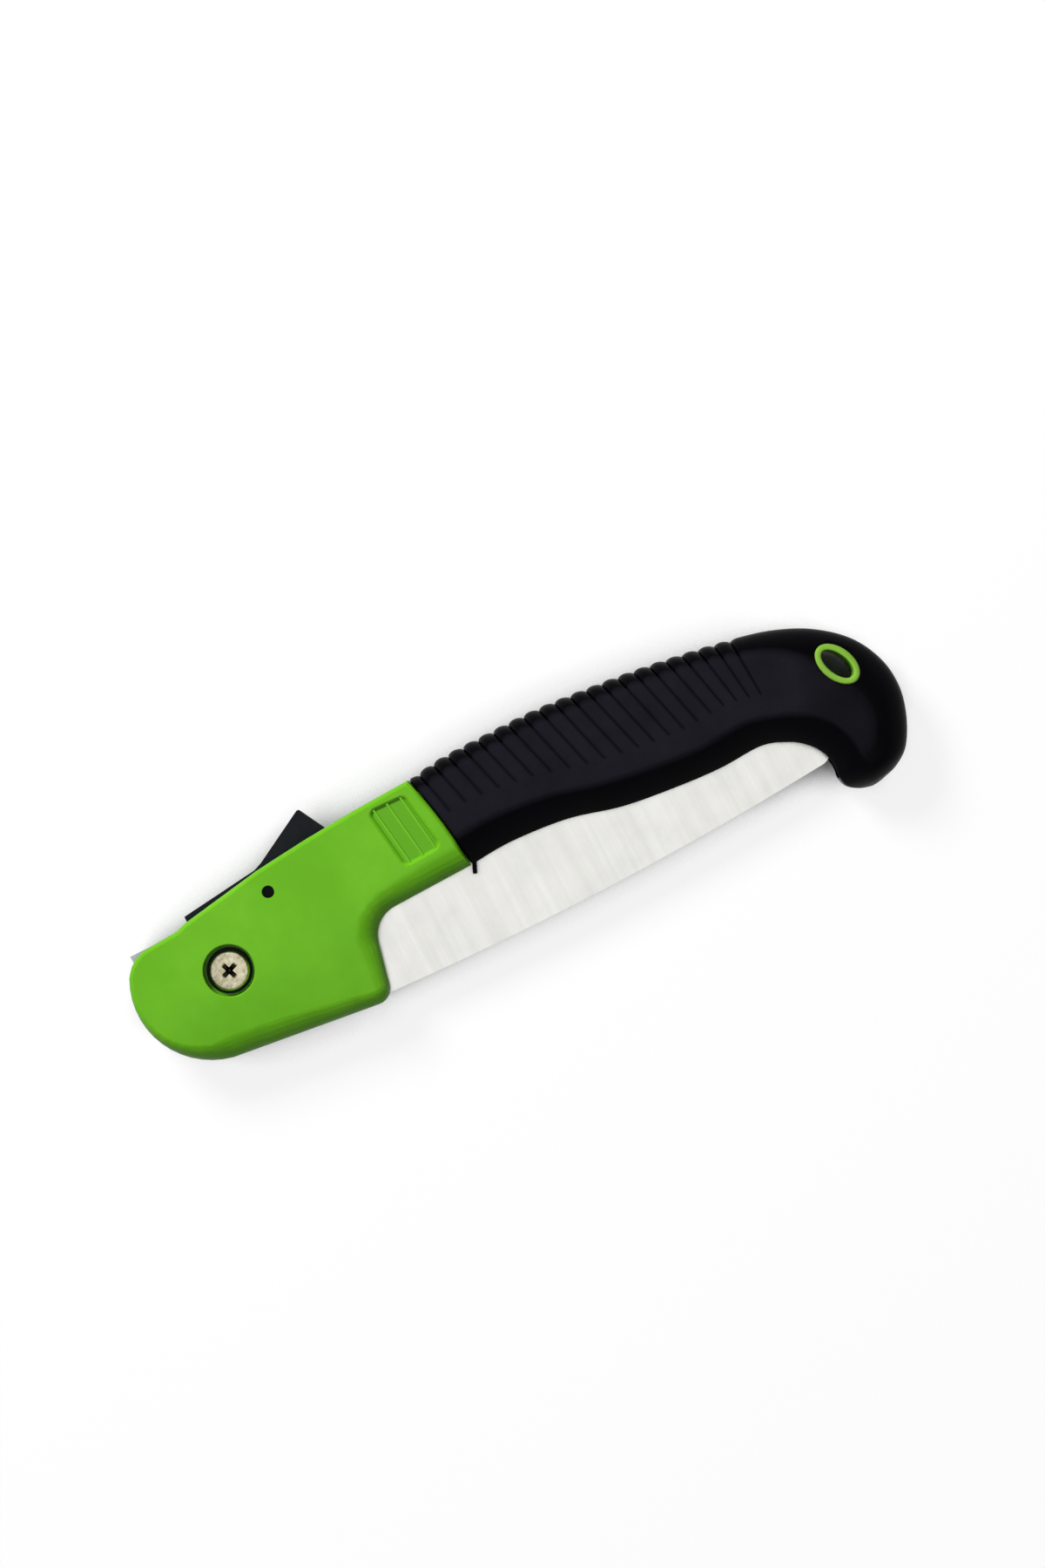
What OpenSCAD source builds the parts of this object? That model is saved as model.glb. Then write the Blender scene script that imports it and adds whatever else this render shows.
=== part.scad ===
// Folding pruning saw, folded and lying on its side.
// The origin is the blade pivot's axis on the plane that the saw lies on.
// +X runs from the pivot to the hooked end, +Y to the lever side, +Z through the thickness.

/* [Handle] */
// Thickness across the flanks
handle_t = 22; // [20:0.5:26]
// Radius of the round nose in front of the pivot
nose_r = 23; // [21:0.5:24]
// Width of the slot between the head's cheeks
head_slot_w = 8; // [7:0.25:9]
// Width of the slot for the folded blade in the grip
grip_slot_w = 5; // [4:0.25:6]
// Half of the tail's thickness inside the grip
tail_half = 5.3; // [5:0.1:6.2]
// Depth of the ribbed thumb panels
panel_depth = 1; // [0.4:0.1:1.2]
// Ribs on each thumb panel
panel_ribs = 3; // [2:1:6]

/* [Grip] */
// Pitch of the ribs over the spine
rib_pitch = 4.8; // [4:0.1:6]
// Height of the ribs on the spine
rib_h = 1.3; // [0.6:0.1:1.5]
// Depth of the grooves down the flanks
groove_depth = 0.45; // [0.2:0.05:0.7]
// Thickness of the rubber over the tail's spine
spine_wall = 4.2; // [3:0.2:6]
// Thickness of the rubber lips at the rim
lip_t = 0.7; // [0.4:0.1:1.2]
// Gap between the rubber and the tail
rubber_gap = 0.12; // [0.1:0.02:0.2]

/* [Eyelet] */
// Length of the hole for a lanyard
eye_len = 10.8; // [10:0.1:11]
// Width of the hole for a lanyard
eye_w = 5.5; // [5.4:0.1:6]
// Wall of the ring
eye_wall = 1.9; // [1.5:0.1:2.4]
// How far the ring stands out of the rubber
eye_proud = 0.4; // [0.2:0.1:0.8]

/* [Blade] */
// Length from the pivot to the tip
blade_len = 180; // [172:1:188]
// Thickness of the steel
blade_t = 1.5; // [1.2:0.1:2]
// Distance from one tooth to the next
tooth_pitch = 4; // [3:0.25:5]
// Height of the teeth
tooth_h = 3.2; // [2:0.2:3.6]
// Radius of the tang's round back
tang_r = 14; // [13:0.25:14.5]
// Angle from folded to open
open_angle = 165; // [160:1:170]

/* [Pivot] */
// Diameter of the screw's shank
screw_d = 6; // [5:0.5:6]
// Diameter of the screw's head
screw_head_d = 11.6; // [10.5:0.1:12.5]
// Height of the screw's head
screw_head_h = 3.4; // [2.8:0.1:3.6]
// Diameter of the counterbore
counterbore_d = 14.6; // [14:0.1:16]
// Depth of the counterbore
counterbore_depth = 5; // [4.6:0.1:5.2]
// Outer diameter of the bush
bush_d = 9.6; // [9:0.1:11]
// Hexagon nut, across its flats
nut_w = 10; // [9.5:0.5:10.5]
// Thickness of the nut
nut_t = 3.6; // [3:0.1:3.8]
// Thickness of the washer under the screw's head
washer_t = 0.8; // [0.6:0.1:1]
// Thickness of the steel liners
liner_t = 1; // [0.6:0.1:1.2]
// Diameter of the discs beside the blade
disc_d = 20; // [16:0.5:22]

/* [Lock] */
// Diameter of the lever's pin
pin_d = 3.5; // [3:0.1:4]
// How far the pin's ends lie below the cheeks
pin_recess = 3; // [2:0.5:4]
// Radius of the lever's boss around its pin
boss_r = 4.2; // [3.6:0.1:4.6]
// Angle that the nose drops from the tang's back into a notch
lever_drop = 5; // [4:0.5:5.5]
// Angle that the thumb lifts the nose further
lever_lift = 4; // [2:0.5:4.5]
// Diameter of the spring's coil
spring_d = 4.6; // [4:0.1:5]
// Diameter of the spring's wire
spring_wire = 0.7; // [0.5:0.05:0.8]
// Turns of the spring
spring_turns = 5; // [4:0.5:5]

/* [Fits] */
// Radial clearance of a running fit
running = 0.05; // [0.02:0.01:0.09]
// Gap between faces that slide past each other
side_gap = 0.2; // [0.1:0.05:0.3]
// Gap between the lever's nose and the tang
nose_gap = 0.35; // [0.25:0.05:0.5]
// Gap between pieces that are seated
seat = 0.02; // [0.01:0.01:0.04]

/* [Hidden] */
$fn = 64;

lime = [0.36, 0.66, 0.10];
rubber_black = [0.07, 0.07, 0.09];
charcoal = [0.13, 0.14, 0.16];
steel = [0.80, 0.81, 0.80];
nickel = [0.78, 0.74, 0.62];
nylon = [0.85, 0.84, 0.78];

mid = handle_t / 2;
eps = 0.01;
far = 60;

// Curves

function unit(v) = v / norm(v);
function turned(v, a) = [v.x * cos(a) - v.y * sin(a), v.x * sin(a) + v.y * cos(a)];
function arc(c, r, a0, a1, n) = [
    for (i = [0:n])
        let (a = a0 + (a1 - a0) * i / n)
        c + r * [cos(a), sin(a)]
];

// A smooth curve through rows of numbers, read at a row position that may be a fraction
function blend(p, q, s, e, t) =
    0.5 * (2 * q + (s - p) * t + (2 * p - 5 * q + 4 * s - e) * t * t + (3 * q - p - 3 * s + e) * t * t * t);
function row_at(rows, u) =
    let (last = len(rows) - 1, i = max(0, min(last - 1, floor(u))), t = u - i)
    blend(rows[max(0, i - 1)], rows[i], rows[i + 1], rows[min(last, i + 2)], t);

// The arc that rounds the corner q between p and s
function fillet(p, q, s, r, n) =
    let (
        d1 = unit(p - q), d2 = unit(s - q), half = acos(d1 * d2) / 2,
        c = q + unit(d1 + d2) * r / sin(half),
        from = q + d1 * r / tan(half) - c, to = q + d2 * r / tan(half) - c,
        a0 = atan2(from.y, from.x), turn = atan2(from.x * to.y - from.y * to.x, from * to)
    ) arc(c, r, a0, a0 + turn, n);
function rounded(points, r, n) = [
    for (i = [0:len(points) - 1])
        let (m = len(points))
        each fillet(points[(i + m - 1) % m], points[i], points[(i + 1) % m], r, n)
];

// Sections of the handle from the head's joint to the end of the hook.
// Each row: spine x and y, rim x and y, half thickness, width of the rim's rounding,
// width of the spine's rounding, half width of the spine's back, bow of the section towards the hook,
// width of the rim's face as a share of its width along the slot.
reach = blade_len - 180;
joint_x = 69.4;
hook_x = 175;
function stretched(x) = x + reach * min(1, (x - joint_x) / (hook_x - joint_x));
section_rows = [
    [joint_x, 24.0, 74.2, -5.4, 11, 10, 5.5, 5.5, 0.9, 1],
    [80, 25.4, 87, -4.8, 11, 10, 5.5, 5.5, 0.5, 1],
    [95, 25.5, 104, -6.5, 11, 10, 5.5, 5.5, 0, 1],
    [110, 25.2, 119.5, -10.6, 11, 10, 5.5, 5.5, 0, 1],
    [125, 23.8, 135, -12.8, 11, 9.4, 5.5, 5.5, 0, 1],
    [140, 22.0, 149, -13.9, 11, 9, 5.5, 5.5, 0, 1],
    [155, 19.6, 162, -13.7, 11, 9.2, 5.6, 5.4, 0, 1],
    [168, 17.0, 169.3, -16.3, 11, 9.5, 6.5, 5, 0, 1],
    [180, 13.8, 173, -18.8, 11, 9.8, 9, 4, 0, 1],
    [190.5, 8.7, 175.4, -21.4, 10.7, 9.6, 12, 3.4, 0, 1],
    [199, 1.2, 176.8, -23.8, 10.6, 9.4, 14.5, 3, 0, 1],
    [203.7, -8, 177.6, -26.4, 10.6, 9.2, 15, 3, 0, 1],
    [204.6, -17, 177.8, -29.2, 10.6, 9.2, 15, 3, 0, 1],
    [202.4, -25.5, 177.5, -32, 10.4, 9, 14.5, 3, 0, 1],
    [198.3, -32.8, 178.4, -35, 9.6, 8.6, 10.5, 3, 0, 0.72],
    [193.6, -36.3, 181.2, -37.2, 7, 5.5, 6, 2.5, 0, 0.42],
    [189.3, -37.7, 184.6, -38.3, 3.6, 2, 2.4, 1.6, 0, 0.2],
    [187.6, -38.15, 186.4, -38.3, 1.2, 0.5, 0.5, 0.4, 0, 0.06]
];
grip_rows = [
    for (r = section_rows)
        concat([stretched(r[0]), r[1], stretched(r[2]), r[3], r[4] * handle_t / 22], [for (k = [5:9]) r[k]])
];
last_row = len(grip_rows) - 1;
// Where the tail ends inside the hook
tail_end_row = 13;

function spine(r) = [r[0], r[1]];
function rim(r) = [r[2], r[3]];
function chord(r) = norm(spine(r) - rim(r));
// A point of a section, at a distance from the rim towards the spine, with a share of its full bow
function bowed(r, a, share) =
    let (d = unit(spine(r) - rim(r)))
    rim(r) + d * a + [d.y, -d.x] * r[8] * share;
function on_section(r, a) = let (t = a / chord(r)) bowed(r, a, 4 * t * (1 - t));

// Row positions for distances along the spine
spine_steps = 160;
spine_points = [for (i = [0:spine_steps]) spine(row_at(grip_rows, last_row * i / spine_steps))];
spine_travel = [
    for (i = 0, s = 0; i <= spine_steps;
        i = i + 1, s = s + (i <= spine_steps ? norm(spine_points[i] - spine_points[i - 1]) : 0))
        [s, last_row * i / spine_steps]
];
function row_along(s) = lookup(s, spine_travel);

// Head outline

nose_c = [-5.7, 0.2];
nose_top_angle = 137;
nose_bottom_angle = 258;
nose_steps = 14;
top_front = nose_c + nose_r * [cos(nose_top_angle), sin(nose_top_angle)];
joint_gap = 0.25;
joint_row = row_at(grip_rows, 0);
joint_steps = 5;
// The joint's points start above the rounding at its lower end
joint_first = 0.3;
joint_edge = [
    for (i = [0:joint_steps])
        let (share = i == 0 ? 0 : joint_first + (1 - joint_first) * (i - 1) / (joint_steps - 1))
        on_section(joint_row, chord(joint_row) * share) - [joint_gap, 0]
];
// The rounding's width before and after each outline point, and its depth
soft = 7.5;
broad = 6.4;
snug = 4.1;
slim = 1.3;
deep = mid - tail_half - lip_t;
// Above 1 the head's rounding is straighter than an ellipse
head_power = 1.2;
choil_corner = [42.4, -5.8];
beak_corner = [36.9, -28.7];
choil_r = 9;
beak_r = 4.5;
front_r = 10;
front_turn = 15;

function ringed(points, w, d) = [for (p = points) [p, w, w, d]];
nose_arc = arc(nose_c, nose_r, nose_top_angle + front_turn, nose_bottom_angle, nose_steps);
beak_arc = fillet(nose_arc[nose_steps], beak_corner, choil_corner, beak_r, 6);
belly_steps = 5;
top_edge = [[52, 23.6], [36, 22.7], [20, 21.3], [-5, 17.5], [-8, 16.6]];
head_outline = concat(
    [[joint_edge[joint_steps], slim, slim, slim]],
    ringed(top_edge, slim, slim),
    ringed(fillet(top_edge[4], top_front, nose_arc[0], front_r, 4), slim, slim),
    [
        for (i = [0:nose_steps])
            let (t = i / nose_steps, w = slim + (broad - slim) * t * t)
            [nose_arc[i], w, w, slim + (deep - slim) * t]
    ],
    [
        for (i = [1:belly_steps - 1])
            let (t = i / belly_steps, w = broad + (snug - broad) * t * t)
            [nose_arc[nose_steps] * (1 - t) + beak_arc[0] * t, w, w, deep]
    ],
    ringed(beak_arc, snug, deep),
    ringed(fillet(beak_corner, choil_corner, joint_edge[0], choil_r, 7), broad, deep),
    [[[62, -5.55], soft, soft, deep]],
    [[joint_edge[0], soft, slim, deep]],
    ringed([for (i = [1:joint_steps - 1]) joint_edge[i]], slim, slim)
);
head_n = len(head_outline);
// A point inside the head that every part of its outline faces
head_centre = [30, 5];

function outward(p, q) = let (d = unit(q - p)) [d.y, -d.x];
// How far an outline point moves in when both of its edges move in by their widths
function inset_of(i) =
    let (
        here = head_outline[i], before = head_outline[(i + head_n - 1) % head_n][0],
        after = head_outline[(i + 1) % head_n][0],
        na = -outward(before, here[0]), nb = -outward(here[0], after),
        cross_n = na.x * nb.y - na.y * nb.x
    )
    abs(cross_n) < 0.25 ? unit(na + nb) * (here[1] + here[2]) / 2
        : [here[1] * nb.y - here[2] * na.y, here[2] * na.x - here[1] * nb.x] / cross_n;

// Blade outline

spine_low = -29;
spine_mid_x = 105;
spine_bend = 0.0005;
function blade_spine(x) = [x, spine_low + spine_bend * (x - spine_mid_x - reach / 2) ^ 2];
heel = [46, 3.2];
toe = [stretched(174.6), -15.6];
edge_bulge = 2;
// The line of the tooth roots
function tooth_root(t) = heel + (toe - heel) * t + [0, edge_bulge * 4 * t * (1 - t)];
tooth_start = 0.05;
tooth_end = 0.965;
edge_len = norm(toe - heel);
tooth_n = floor((tooth_end - tooth_start) * edge_len / tooth_pitch);
// How far a tooth's point leans towards the pivot, as a share of the pitch
tooth_lean = 0.36;
tooth_share = 0.86;
edge_normal = turned(unit(toe - heel), 90);
tang_to = 278;
shoulder = [11.5, -19.6];
tip_r = 2.5;
tip_low = [blade_len * cos(8.35), -blade_len * sin(8.35)];
tip_high = [blade_len * cos(6.2), -blade_len * sin(6.2)];

// Lock

pin_at = [20, 14.5];
function about_pin(p, a) = pin_at + turned(p - pin_at, a);
lever_w = head_slot_w - 2 * liner_t - 2 * side_gap;
nose_front = -4.7;
nose_back = 1.5;
nose_low = tang_r + nose_gap;
nose_points = [[nose_front, sqrt(nose_low ^ 2 - nose_front ^ 2)], [-1.5, nose_low], [nose_back, nose_low]];
// Lower side of the lever in front of its boss and under the thumb wedge
lever_belly = 15.7;
thumb_under = 20.3;
spring_x = 35;
shelf_top = 11.6;
shelf_front = 27;
thumb_top = [37.8, 31.4];
thumb_back = [43.4, 20.8];
thumb_start = [21.5, 22.7];
// End of the space for the lever, clear of its back corner when it is pressed
bay_gap = 1;
bay_end = about_pin(thumb_back, -lever_lift).x + bay_gap;

// Slot for the folded blade
floor_gap = 1.5;
function slot_floor(t) = tooth_root(t) + [0, tooth_h + floor_gap];
slot_r = blade_len + 2.6;
slot_end = [stretched(178), -13];

// Layers through the head
slot_low = mid - head_slot_w / 2;
slot_high = mid + head_slot_w / 2;
blade_low = mid - blade_t / 2;
disc_t = (head_slot_w - 2 * liner_t - blade_t) / 2 - 2 * seat;
counterbore_floor = handle_t - counterbore_depth;
nut_sunk = 0.8;
nut_pocket = nut_t + nut_sunk;
nut_play = 0.1;
washer_d = screw_head_d + 1.4;
washer_play = 0.2;
thread_past_nut = 0.4;

// Eyelet
eye_at = [stretched(191.6), -3.2];
eye_turn = -65;
eye_steps = 48;
// An oval around the eye, at a distance from the edge of its hole
function oval(grow) = [
    for (i = [0:eye_steps - 1])
        let (a = i * 360 / eye_steps)
        [(eye_len / 2 + grow) * cos(a), (eye_w / 2 + grow) * sin(a)]
];
module eye_prism(grow) {
    translate([eye_at.x, eye_at.y, mid - far / 2])
        rotate(eye_turn)
            linear_extrude(far) polygon(oval(grow));
}

// Quads of a closed band between two rings of points, as triangles
function band(a, b, n) = [
    for (i = [0:n - 1])
        let (k = (i + 1) % n)
        each [[a + i, a + k, b + k], [a + i, b + k, b + i]]
];

// Handle core

round_steps = 6;
module head_plate() {
    insets = [for (i = [0:head_n - 1]) inset_of(i)];
    angles = [for (k = [0:round_steps]) 90 - 90 * k / round_steps];
    function level(a, up) = [
        for (i = [0:head_n - 1])
            let (
                p = head_outline[i][0] + insets[i] * (1 - cos(a) ^ head_power),
                drop = head_outline[i][3] * (1 - sin(a) ^ head_power)
            )
            [p.x, p.y, up ? handle_t - drop : drop]
    ];
    points = concat(
        [for (a = angles) each level(a, true)],
        [for (k = [round_steps:-1:0]) each level(angles[k], false)],
        [[head_centre.x, head_centre.y, handle_t], [head_centre.x, head_centre.y, 0]]
    );
    levels = 2 * (round_steps + 1);
    top = levels * head_n;
    base = (levels - 1) * head_n;
    faces = concat(
        [for (i = [0:head_n - 1]) [top, (i + 1) % head_n, i]],
        [for (k = [0:levels - 2]) each band(k * head_n, (k + 1) * head_n, head_n)],
        [for (i = [0:head_n - 1]) [top + 1, base + i, base + (i + 1) % head_n]]
    );
    polyhedron(points, faces, convexity = 8);
}

tail_steps = 44;
tail_recess = 0.8;
// Part of a row that the tail stops short of the rubber's pocket
tail_short = 0.15;
module tail() {
    rows = [for (i = [0:tail_steps]) row_at(grip_rows, (tail_end_row - tail_short) * i / tail_steps)];
    upper = [for (r = rows) on_section(r, chord(r) - spine_wall - rubber_gap)];
    lower = [for (i = [tail_steps:-1:0]) on_section(rows[i], tail_recess)];
    translate([0, 0, mid - tail_half])
        linear_extrude(2 * tail_half)
            polygon(concat([[joint_x - 12, 2], [joint_x - 12, 16]], upper, lower));
}

module slot_region() {
    steps = 12;
    end_angle = atan2(slot_end.y, slot_end.x);
    polygon(concat(
        [[-far, far], [bay_end, far], [bay_end, shelf_top], [shelf_front, shelf_top]],
        [[shelf_front, heel.y + tooth_h + floor_gap]],
        [for (i = [0:steps]) slot_floor(i / steps)],
        arc([0, 0], slot_r, end_angle, -18, 8),
        [[-far, -far]]
    ));
}

panel_corners = [[54.7, 21.7], [57.2, 2.6], [69.6, 2.9], [66.8, 21.1]];
panel_wall = 1;
panel_r = 2.2;
// The points moved in so that both of their edges move in by a distance
function drawn_in(points, d) = [
    for (i = [0:len(points) - 1])
        let (
            m = len(points), p = points[i],
            a = unit(points[(i + m - 1) % m] - p), b = unit(points[(i + 1) % m] - p)
        )
        p + (a + b) * d / abs(a.x * b.y - a.y * b.x)
];
// A pocket whose walls slope out from its floor, with ribs standing on the floor
module panel_cut() {
    rib_w = 0.6;
    rib_top = 0.6 * panel_depth;
    rib_step = (panel_corners[2] - panel_corners[1]) / panel_ribs;
    lean = unit(panel_corners[1] - panel_corners[0]);
    centre = (panel_corners[0] + panel_corners[2]) / 2;
    function ring_at(rise) =
        let (inset = panel_wall * (1 - rise / panel_depth))
        [for (p = rounded(drawn_in(panel_corners, inset), panel_r - inset, 4)) [p.x, p.y, rise]];
    n = len(ring_at(0));
    points = concat(ring_at(0), ring_at(panel_depth), ring_at(1.5 * panel_depth), [[centre.x, centre.y, 0]]);
    faces = concat(
        [for (i = [0:n - 1]) [3 * n, i, (i + 1) % n]],
        band(n, 0, n),
        band(2 * n, n, n),
        [[for (i = [n - 1:-1:0]) 2 * n + i]]
    );
    difference() {
        polyhedron(points, faces);
        for (k = [1:panel_ribs])
            translate(panel_corners[1] + (k - 0.5) * rib_step)
                rotate(atan2(-lean.y, -lean.x))
                    translate([-far, -rib_w / 2, -1]) cube([2 * far, rib_w, 1 + rib_top]);
    }
}

module handle_core() {
    color(lime) difference() {
        union() {
            head_plate();
            tail();
        }
        translate([0, 0, slot_low])
            linear_extrude(head_slot_w)
                intersection() {
                    slot_region();
                    translate([-far, -far]) square([far + bay_end, 2 * far]);
                }
        translate([0, 0, mid - grip_slot_w / 2]) linear_extrude(grip_slot_w) slot_region();
        translate([0, 0, counterbore_floor]) cylinder(d = counterbore_d, h = far);
        translate([0, 0, -eps]) cylinder(d = bush_d + 2 * seat, h = far);
        translate([0, 0, -eps])
            cylinder(d = (nut_w + 2 * nut_play) / cos(30), h = nut_pocket + eps, $fn = 6);
        translate([pin_at.x, pin_at.y, -eps]) cylinder(d = pin_d + 2 * seat, h = far);
        translate([0, 0, handle_t - panel_depth]) panel_cut();
        translate([0, 0, panel_depth]) mirror([0, 0, 1]) panel_cut();
        eye_prism(eye_wall + rubber_gap);
    }
}

// Grip

round_n = 4;
groove_band = 5.4;
groove_ramp = 0.8;
flat_least = 3;
// Below 2 the rim's slope is straighter than an ellipse
slope_power = 1.6;
// Outer half of a section as rows of distance from the rim, height, outward direction in both,
// share of the rib's height and share of the groove's depth
function half_section(r) =
    let (
        l = chord(r), lip = (tail_half + lip_t) * min(1, r[9]), h = min(mid, max(lip + lip_t / 4, r[4])),
        fit = min(1, 0.97 * l / (r[5] + r[6])), w = r[5] * fit, v = r[6] * fit,
        flat = l - v - w, back = r[7]
    )
    concat(
        [
            for (k = [0:round_n])
                let (a = 90 * k / round_n)
                let (in = 1 - cos(a) ^ slope_power, up = sin(a) ^ slope_power)
                [w * in, lip + (h - lip) * up, -cos(a), sin(a), 0, 0]
        ],
        [
            for (k = [0, 1])
                let (high = min(l - v - groove_ramp * (1.5 - k / 2), w + groove_band + k * groove_ramp))
                [flat > flat_least ? high : w + flat * (k + 1) / 3, h, 0, 1, 0, k]
        ],
        [
            for (k = [0:round_n])
                let (a = 90 - 90 * k / round_n, high = back + (h - back) * sin(a), rib = k > 0 ? 1 : 0)
                [l - v * (1 - cos(a)), high, cos(a), sin(a), rib, 1 - rib]
        ]
    );
half_n = 2 * (round_n + 1) + 2;

// One ring of the rubber: outer upper half, outer lower half, then the space for the tail
function grip_ring(r, valley, inset) =
    let (
        half = [
            for (p = half_section(r))
                let (d = valley * (p[4] * rib_h + p[5] * groove_depth) + inset)
                [p[0] - p[2] * d, p[1] - p[3] * d]
        ],
        side = tail_half + rubber_gap, deep_end = chord(r) - spine_wall,
        inner = [[inset, -side], [deep_end, -side], [deep_end, side], [inset, side]],
        outer = concat(half, [for (i = [half_n - 1:-1:0]) [half[i][0], -half[i][1]]])
    )
    concat(
        [for (p = outer) let (q = on_section(r, p[0])) [q.x, q.y, mid + p[1]]],
        [for (p = inner) let (q = bowed(r, p[0], 1)) [q.x, q.y, mid + p[1]]]
    );

edge_r = 1;
first_valley = 3.2;
shoulder_w = 0.65;
rib_end = 99.5;
rib_n = floor((rib_end - first_valley) / rib_pitch);
hook_step = 0.25;
grip_stations = concat(
    [for (a = [0, 45]) [row_along(edge_r * (1 - cos(a))), 0, edge_r * (1 - sin(a))]],
    [
        for (k = [0:rib_n], step = [-shoulder_w, 0, shoulder_w, rib_pitch / 2])
            if (k < rib_n || step < rib_pitch / 2)
                let (valley = step == 0 ? 1 : step > shoulder_w ? 0 : 0.25)
                [row_along(first_valley + k * rib_pitch + step), valley, 0]
    ],
    [
        for (u = [ceil(row_along(rib_end + 1) / hook_step) * hook_step:hook_step:last_row])
            [u, 0, 0]
    ]
);
station_n = len(grip_stations);
ring_n = 2 * half_n + 4;
// The last ring that still has space for the tail
last_open = max([for (i = [0:station_n - 1]) if (grip_stations[i][0] <= tail_end_row + 0.2) i]);

module grip_loft() {
    points = [for (s = grip_stations) each grip_ring(row_at(grip_rows, s[0]), s[1], s[2])];
    outer_n = 2 * half_n;
    in_low = outer_n;
    in_high = outer_n + 3;
    switch = round_n + 3;
    gate = last_open * ring_n;
    end = (station_n - 1) * ring_n;
    function quad(a, b, i, k) = [[a + i, a + k, b + k], [a + i, b + k, b + i]];
    front_cap = [
        for (i = [0:switch - 1]) each [
            [in_high, i + 1, i], [in_low, outer_n - 1 - i, outer_n - 2 - i]
        ],
        [in_high, in_high - 1, switch], [in_low, outer_n - 1 - switch, in_low + 1],
        for (i = [switch:half_n - 2]) each [
            [in_high - 1, i + 1, i], [in_low + 1, outer_n - 1 - i, outer_n - 2 - i]
        ],
        [in_high - 1, half_n, half_n - 1], [in_high - 1, in_low + 1, half_n]
    ];
    outer_sides = [
        for (s = [0:station_n - 2], i = [0:outer_n - 2])
            each quad(s * ring_n, (s + 1) * ring_n, i, i + 1)
    ];
    inner_sides = [
        for (s = [0:last_open - 1], i = [outer_n - 1:outer_n + 3])
            each quad(s * ring_n, (s + 1) * ring_n, i, i == outer_n + 3 ? 0 : i + 1)
    ];
    tail_stop = [
        [gate + in_low, gate + in_low + 1, gate + in_high - 1],
        [gate + in_low, gate + in_high - 1, gate + in_high]
    ];
    gate_next = gate + ring_n;
    gate_close = [
        [gate + outer_n - 1, gate + in_low, gate_next + outer_n - 1],
        [gate + in_low, gate + in_high, gate_next + outer_n - 1],
        [gate + in_high, gate, gate_next + outer_n - 1],
        [gate, gate_next, gate_next + outer_n - 1]
    ];
    closed_rim = [
        for (s = [last_open + 1:station_n - 2]) each quad(s * ring_n, (s + 1) * ring_n, outer_n - 1, 0)
    ];
    end_cap = [
        for (i = [0:half_n - 2]) each [
            [end + i, end + i + 1, end + outer_n - 2 - i],
            [end + i, end + outer_n - 2 - i, end + outer_n - 1 - i]
        ]
    ];
    sides = concat(outer_sides, inner_sides, closed_rim);
    polyhedron(points, concat(front_cap, sides, tail_stop, gate_close, end_cap));
}

// The small tongue of rubber at the joint's lower end, on the upper flank
tongue_root = [75.4, -4.5];
tongue_len = 3.9;
tongue_w = 1.3;
tongue_turn = -113;
module joint_tongue() {
    translate([tongue_root.x, tongue_root.y, mid + tail_half + 2 * rubber_gap])
        rotate(tongue_turn)
            translate([0, -tongue_w / 2, 0]) cube([tongue_len, tongue_w, lip_t]);
}

module grip_overmould() {
    color(rubber_black) difference() {
        union() {
            grip_loft();
            joint_tongue();
        }
        eye_prism(eye_wall + rubber_gap);
    }
}

// The hook's outer surface around the eye, grown outwards
skin_from = 7;
skin_to = 13;
module hook_skin(grow) {
    outer_n = 2 * half_n;
    stations = [for (u = [skin_from:hook_step:skin_to]) u];
    end = (len(stations) - 1) * outer_n;
    points = [
        for (u = stations)
            let (ring = grip_ring(row_at(grip_rows, u), 0, -grow))
            each [for (i = [0:outer_n - 1]) ring[i]]
    ];
    faces = concat(
        [[for (i = [outer_n - 1:-1:0]) i]],
        [for (k = [0:len(stations) - 2]) each band(k * outer_n, (k + 1) * outer_n, outer_n)],
        [[for (i = [0:outer_n - 1]) end + i]]
    );
    polyhedron(points, faces);
}

module lanyard_eyelet() {
    color(lime) intersection() {
        hook_skin(eye_proud);
        difference() {
            eye_prism(eye_wall);
            eye_prism(0);
        }
    }
}

// Blade

module notch() {
    dropped = [for (p = nose_points) about_pin(p, lever_drop)];
    low = [0, -nose_gap];
    side = [nose_gap, 0];
    polygon([
        dropped[0] + low - side,
        dropped[1] + low,
        dropped[2] + low + side,
        [dropped[2].x + nose_gap, far],
        [nose_front - nose_gap, far]
    ]);
}

// Each tooth as its front root, point and back root
teeth = [
    for (k = [0:tooth_n - 1])
        let (
            t0 = tooth_end - k * tooth_pitch / edge_len, t1 = t0 - tooth_share * tooth_pitch / edge_len,
            tp = t0 - (0.5 * tooth_share + tooth_lean / 2) * tooth_pitch / edge_len
        )
        [tooth_root(t0), tooth_root(tp) + edge_normal * tooth_h, tooth_root(t1)]
];

// The wedge ground off a flank of a tooth, from p to q, that leaves a thin land at the other face
grind_w = 0.6;
grind_land = 0.25;
grind_start = 0.15;
module flank_grind(p, q, side) {
    flank = q - p;
    over = 0.3;
    land = blade_t - grind_land;
    translate(p)
        rotate(atan2(flank.y, flank.x))
            mirror([0, side, 0])
                translate([grind_start, 0, 0])
                    rotate([90, 0, 90])
                        linear_extrude(norm(flank) + over)
                            polygon([[-over, land], [0, land], [grind_w, 0], [grind_w, -1], [-over, -1]]);
}

// Teeth are ground on one face and the other by turns
module tooth_grinds() {
    for (k = [0:tooth_n - 1], side = [0, 1])
        translate([0, 0, k % 2 * blade_t])
            mirror([0, 0, k % 2])
                flank_grind(teeth[k][2 * side], teeth[k][1], side);
}

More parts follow.
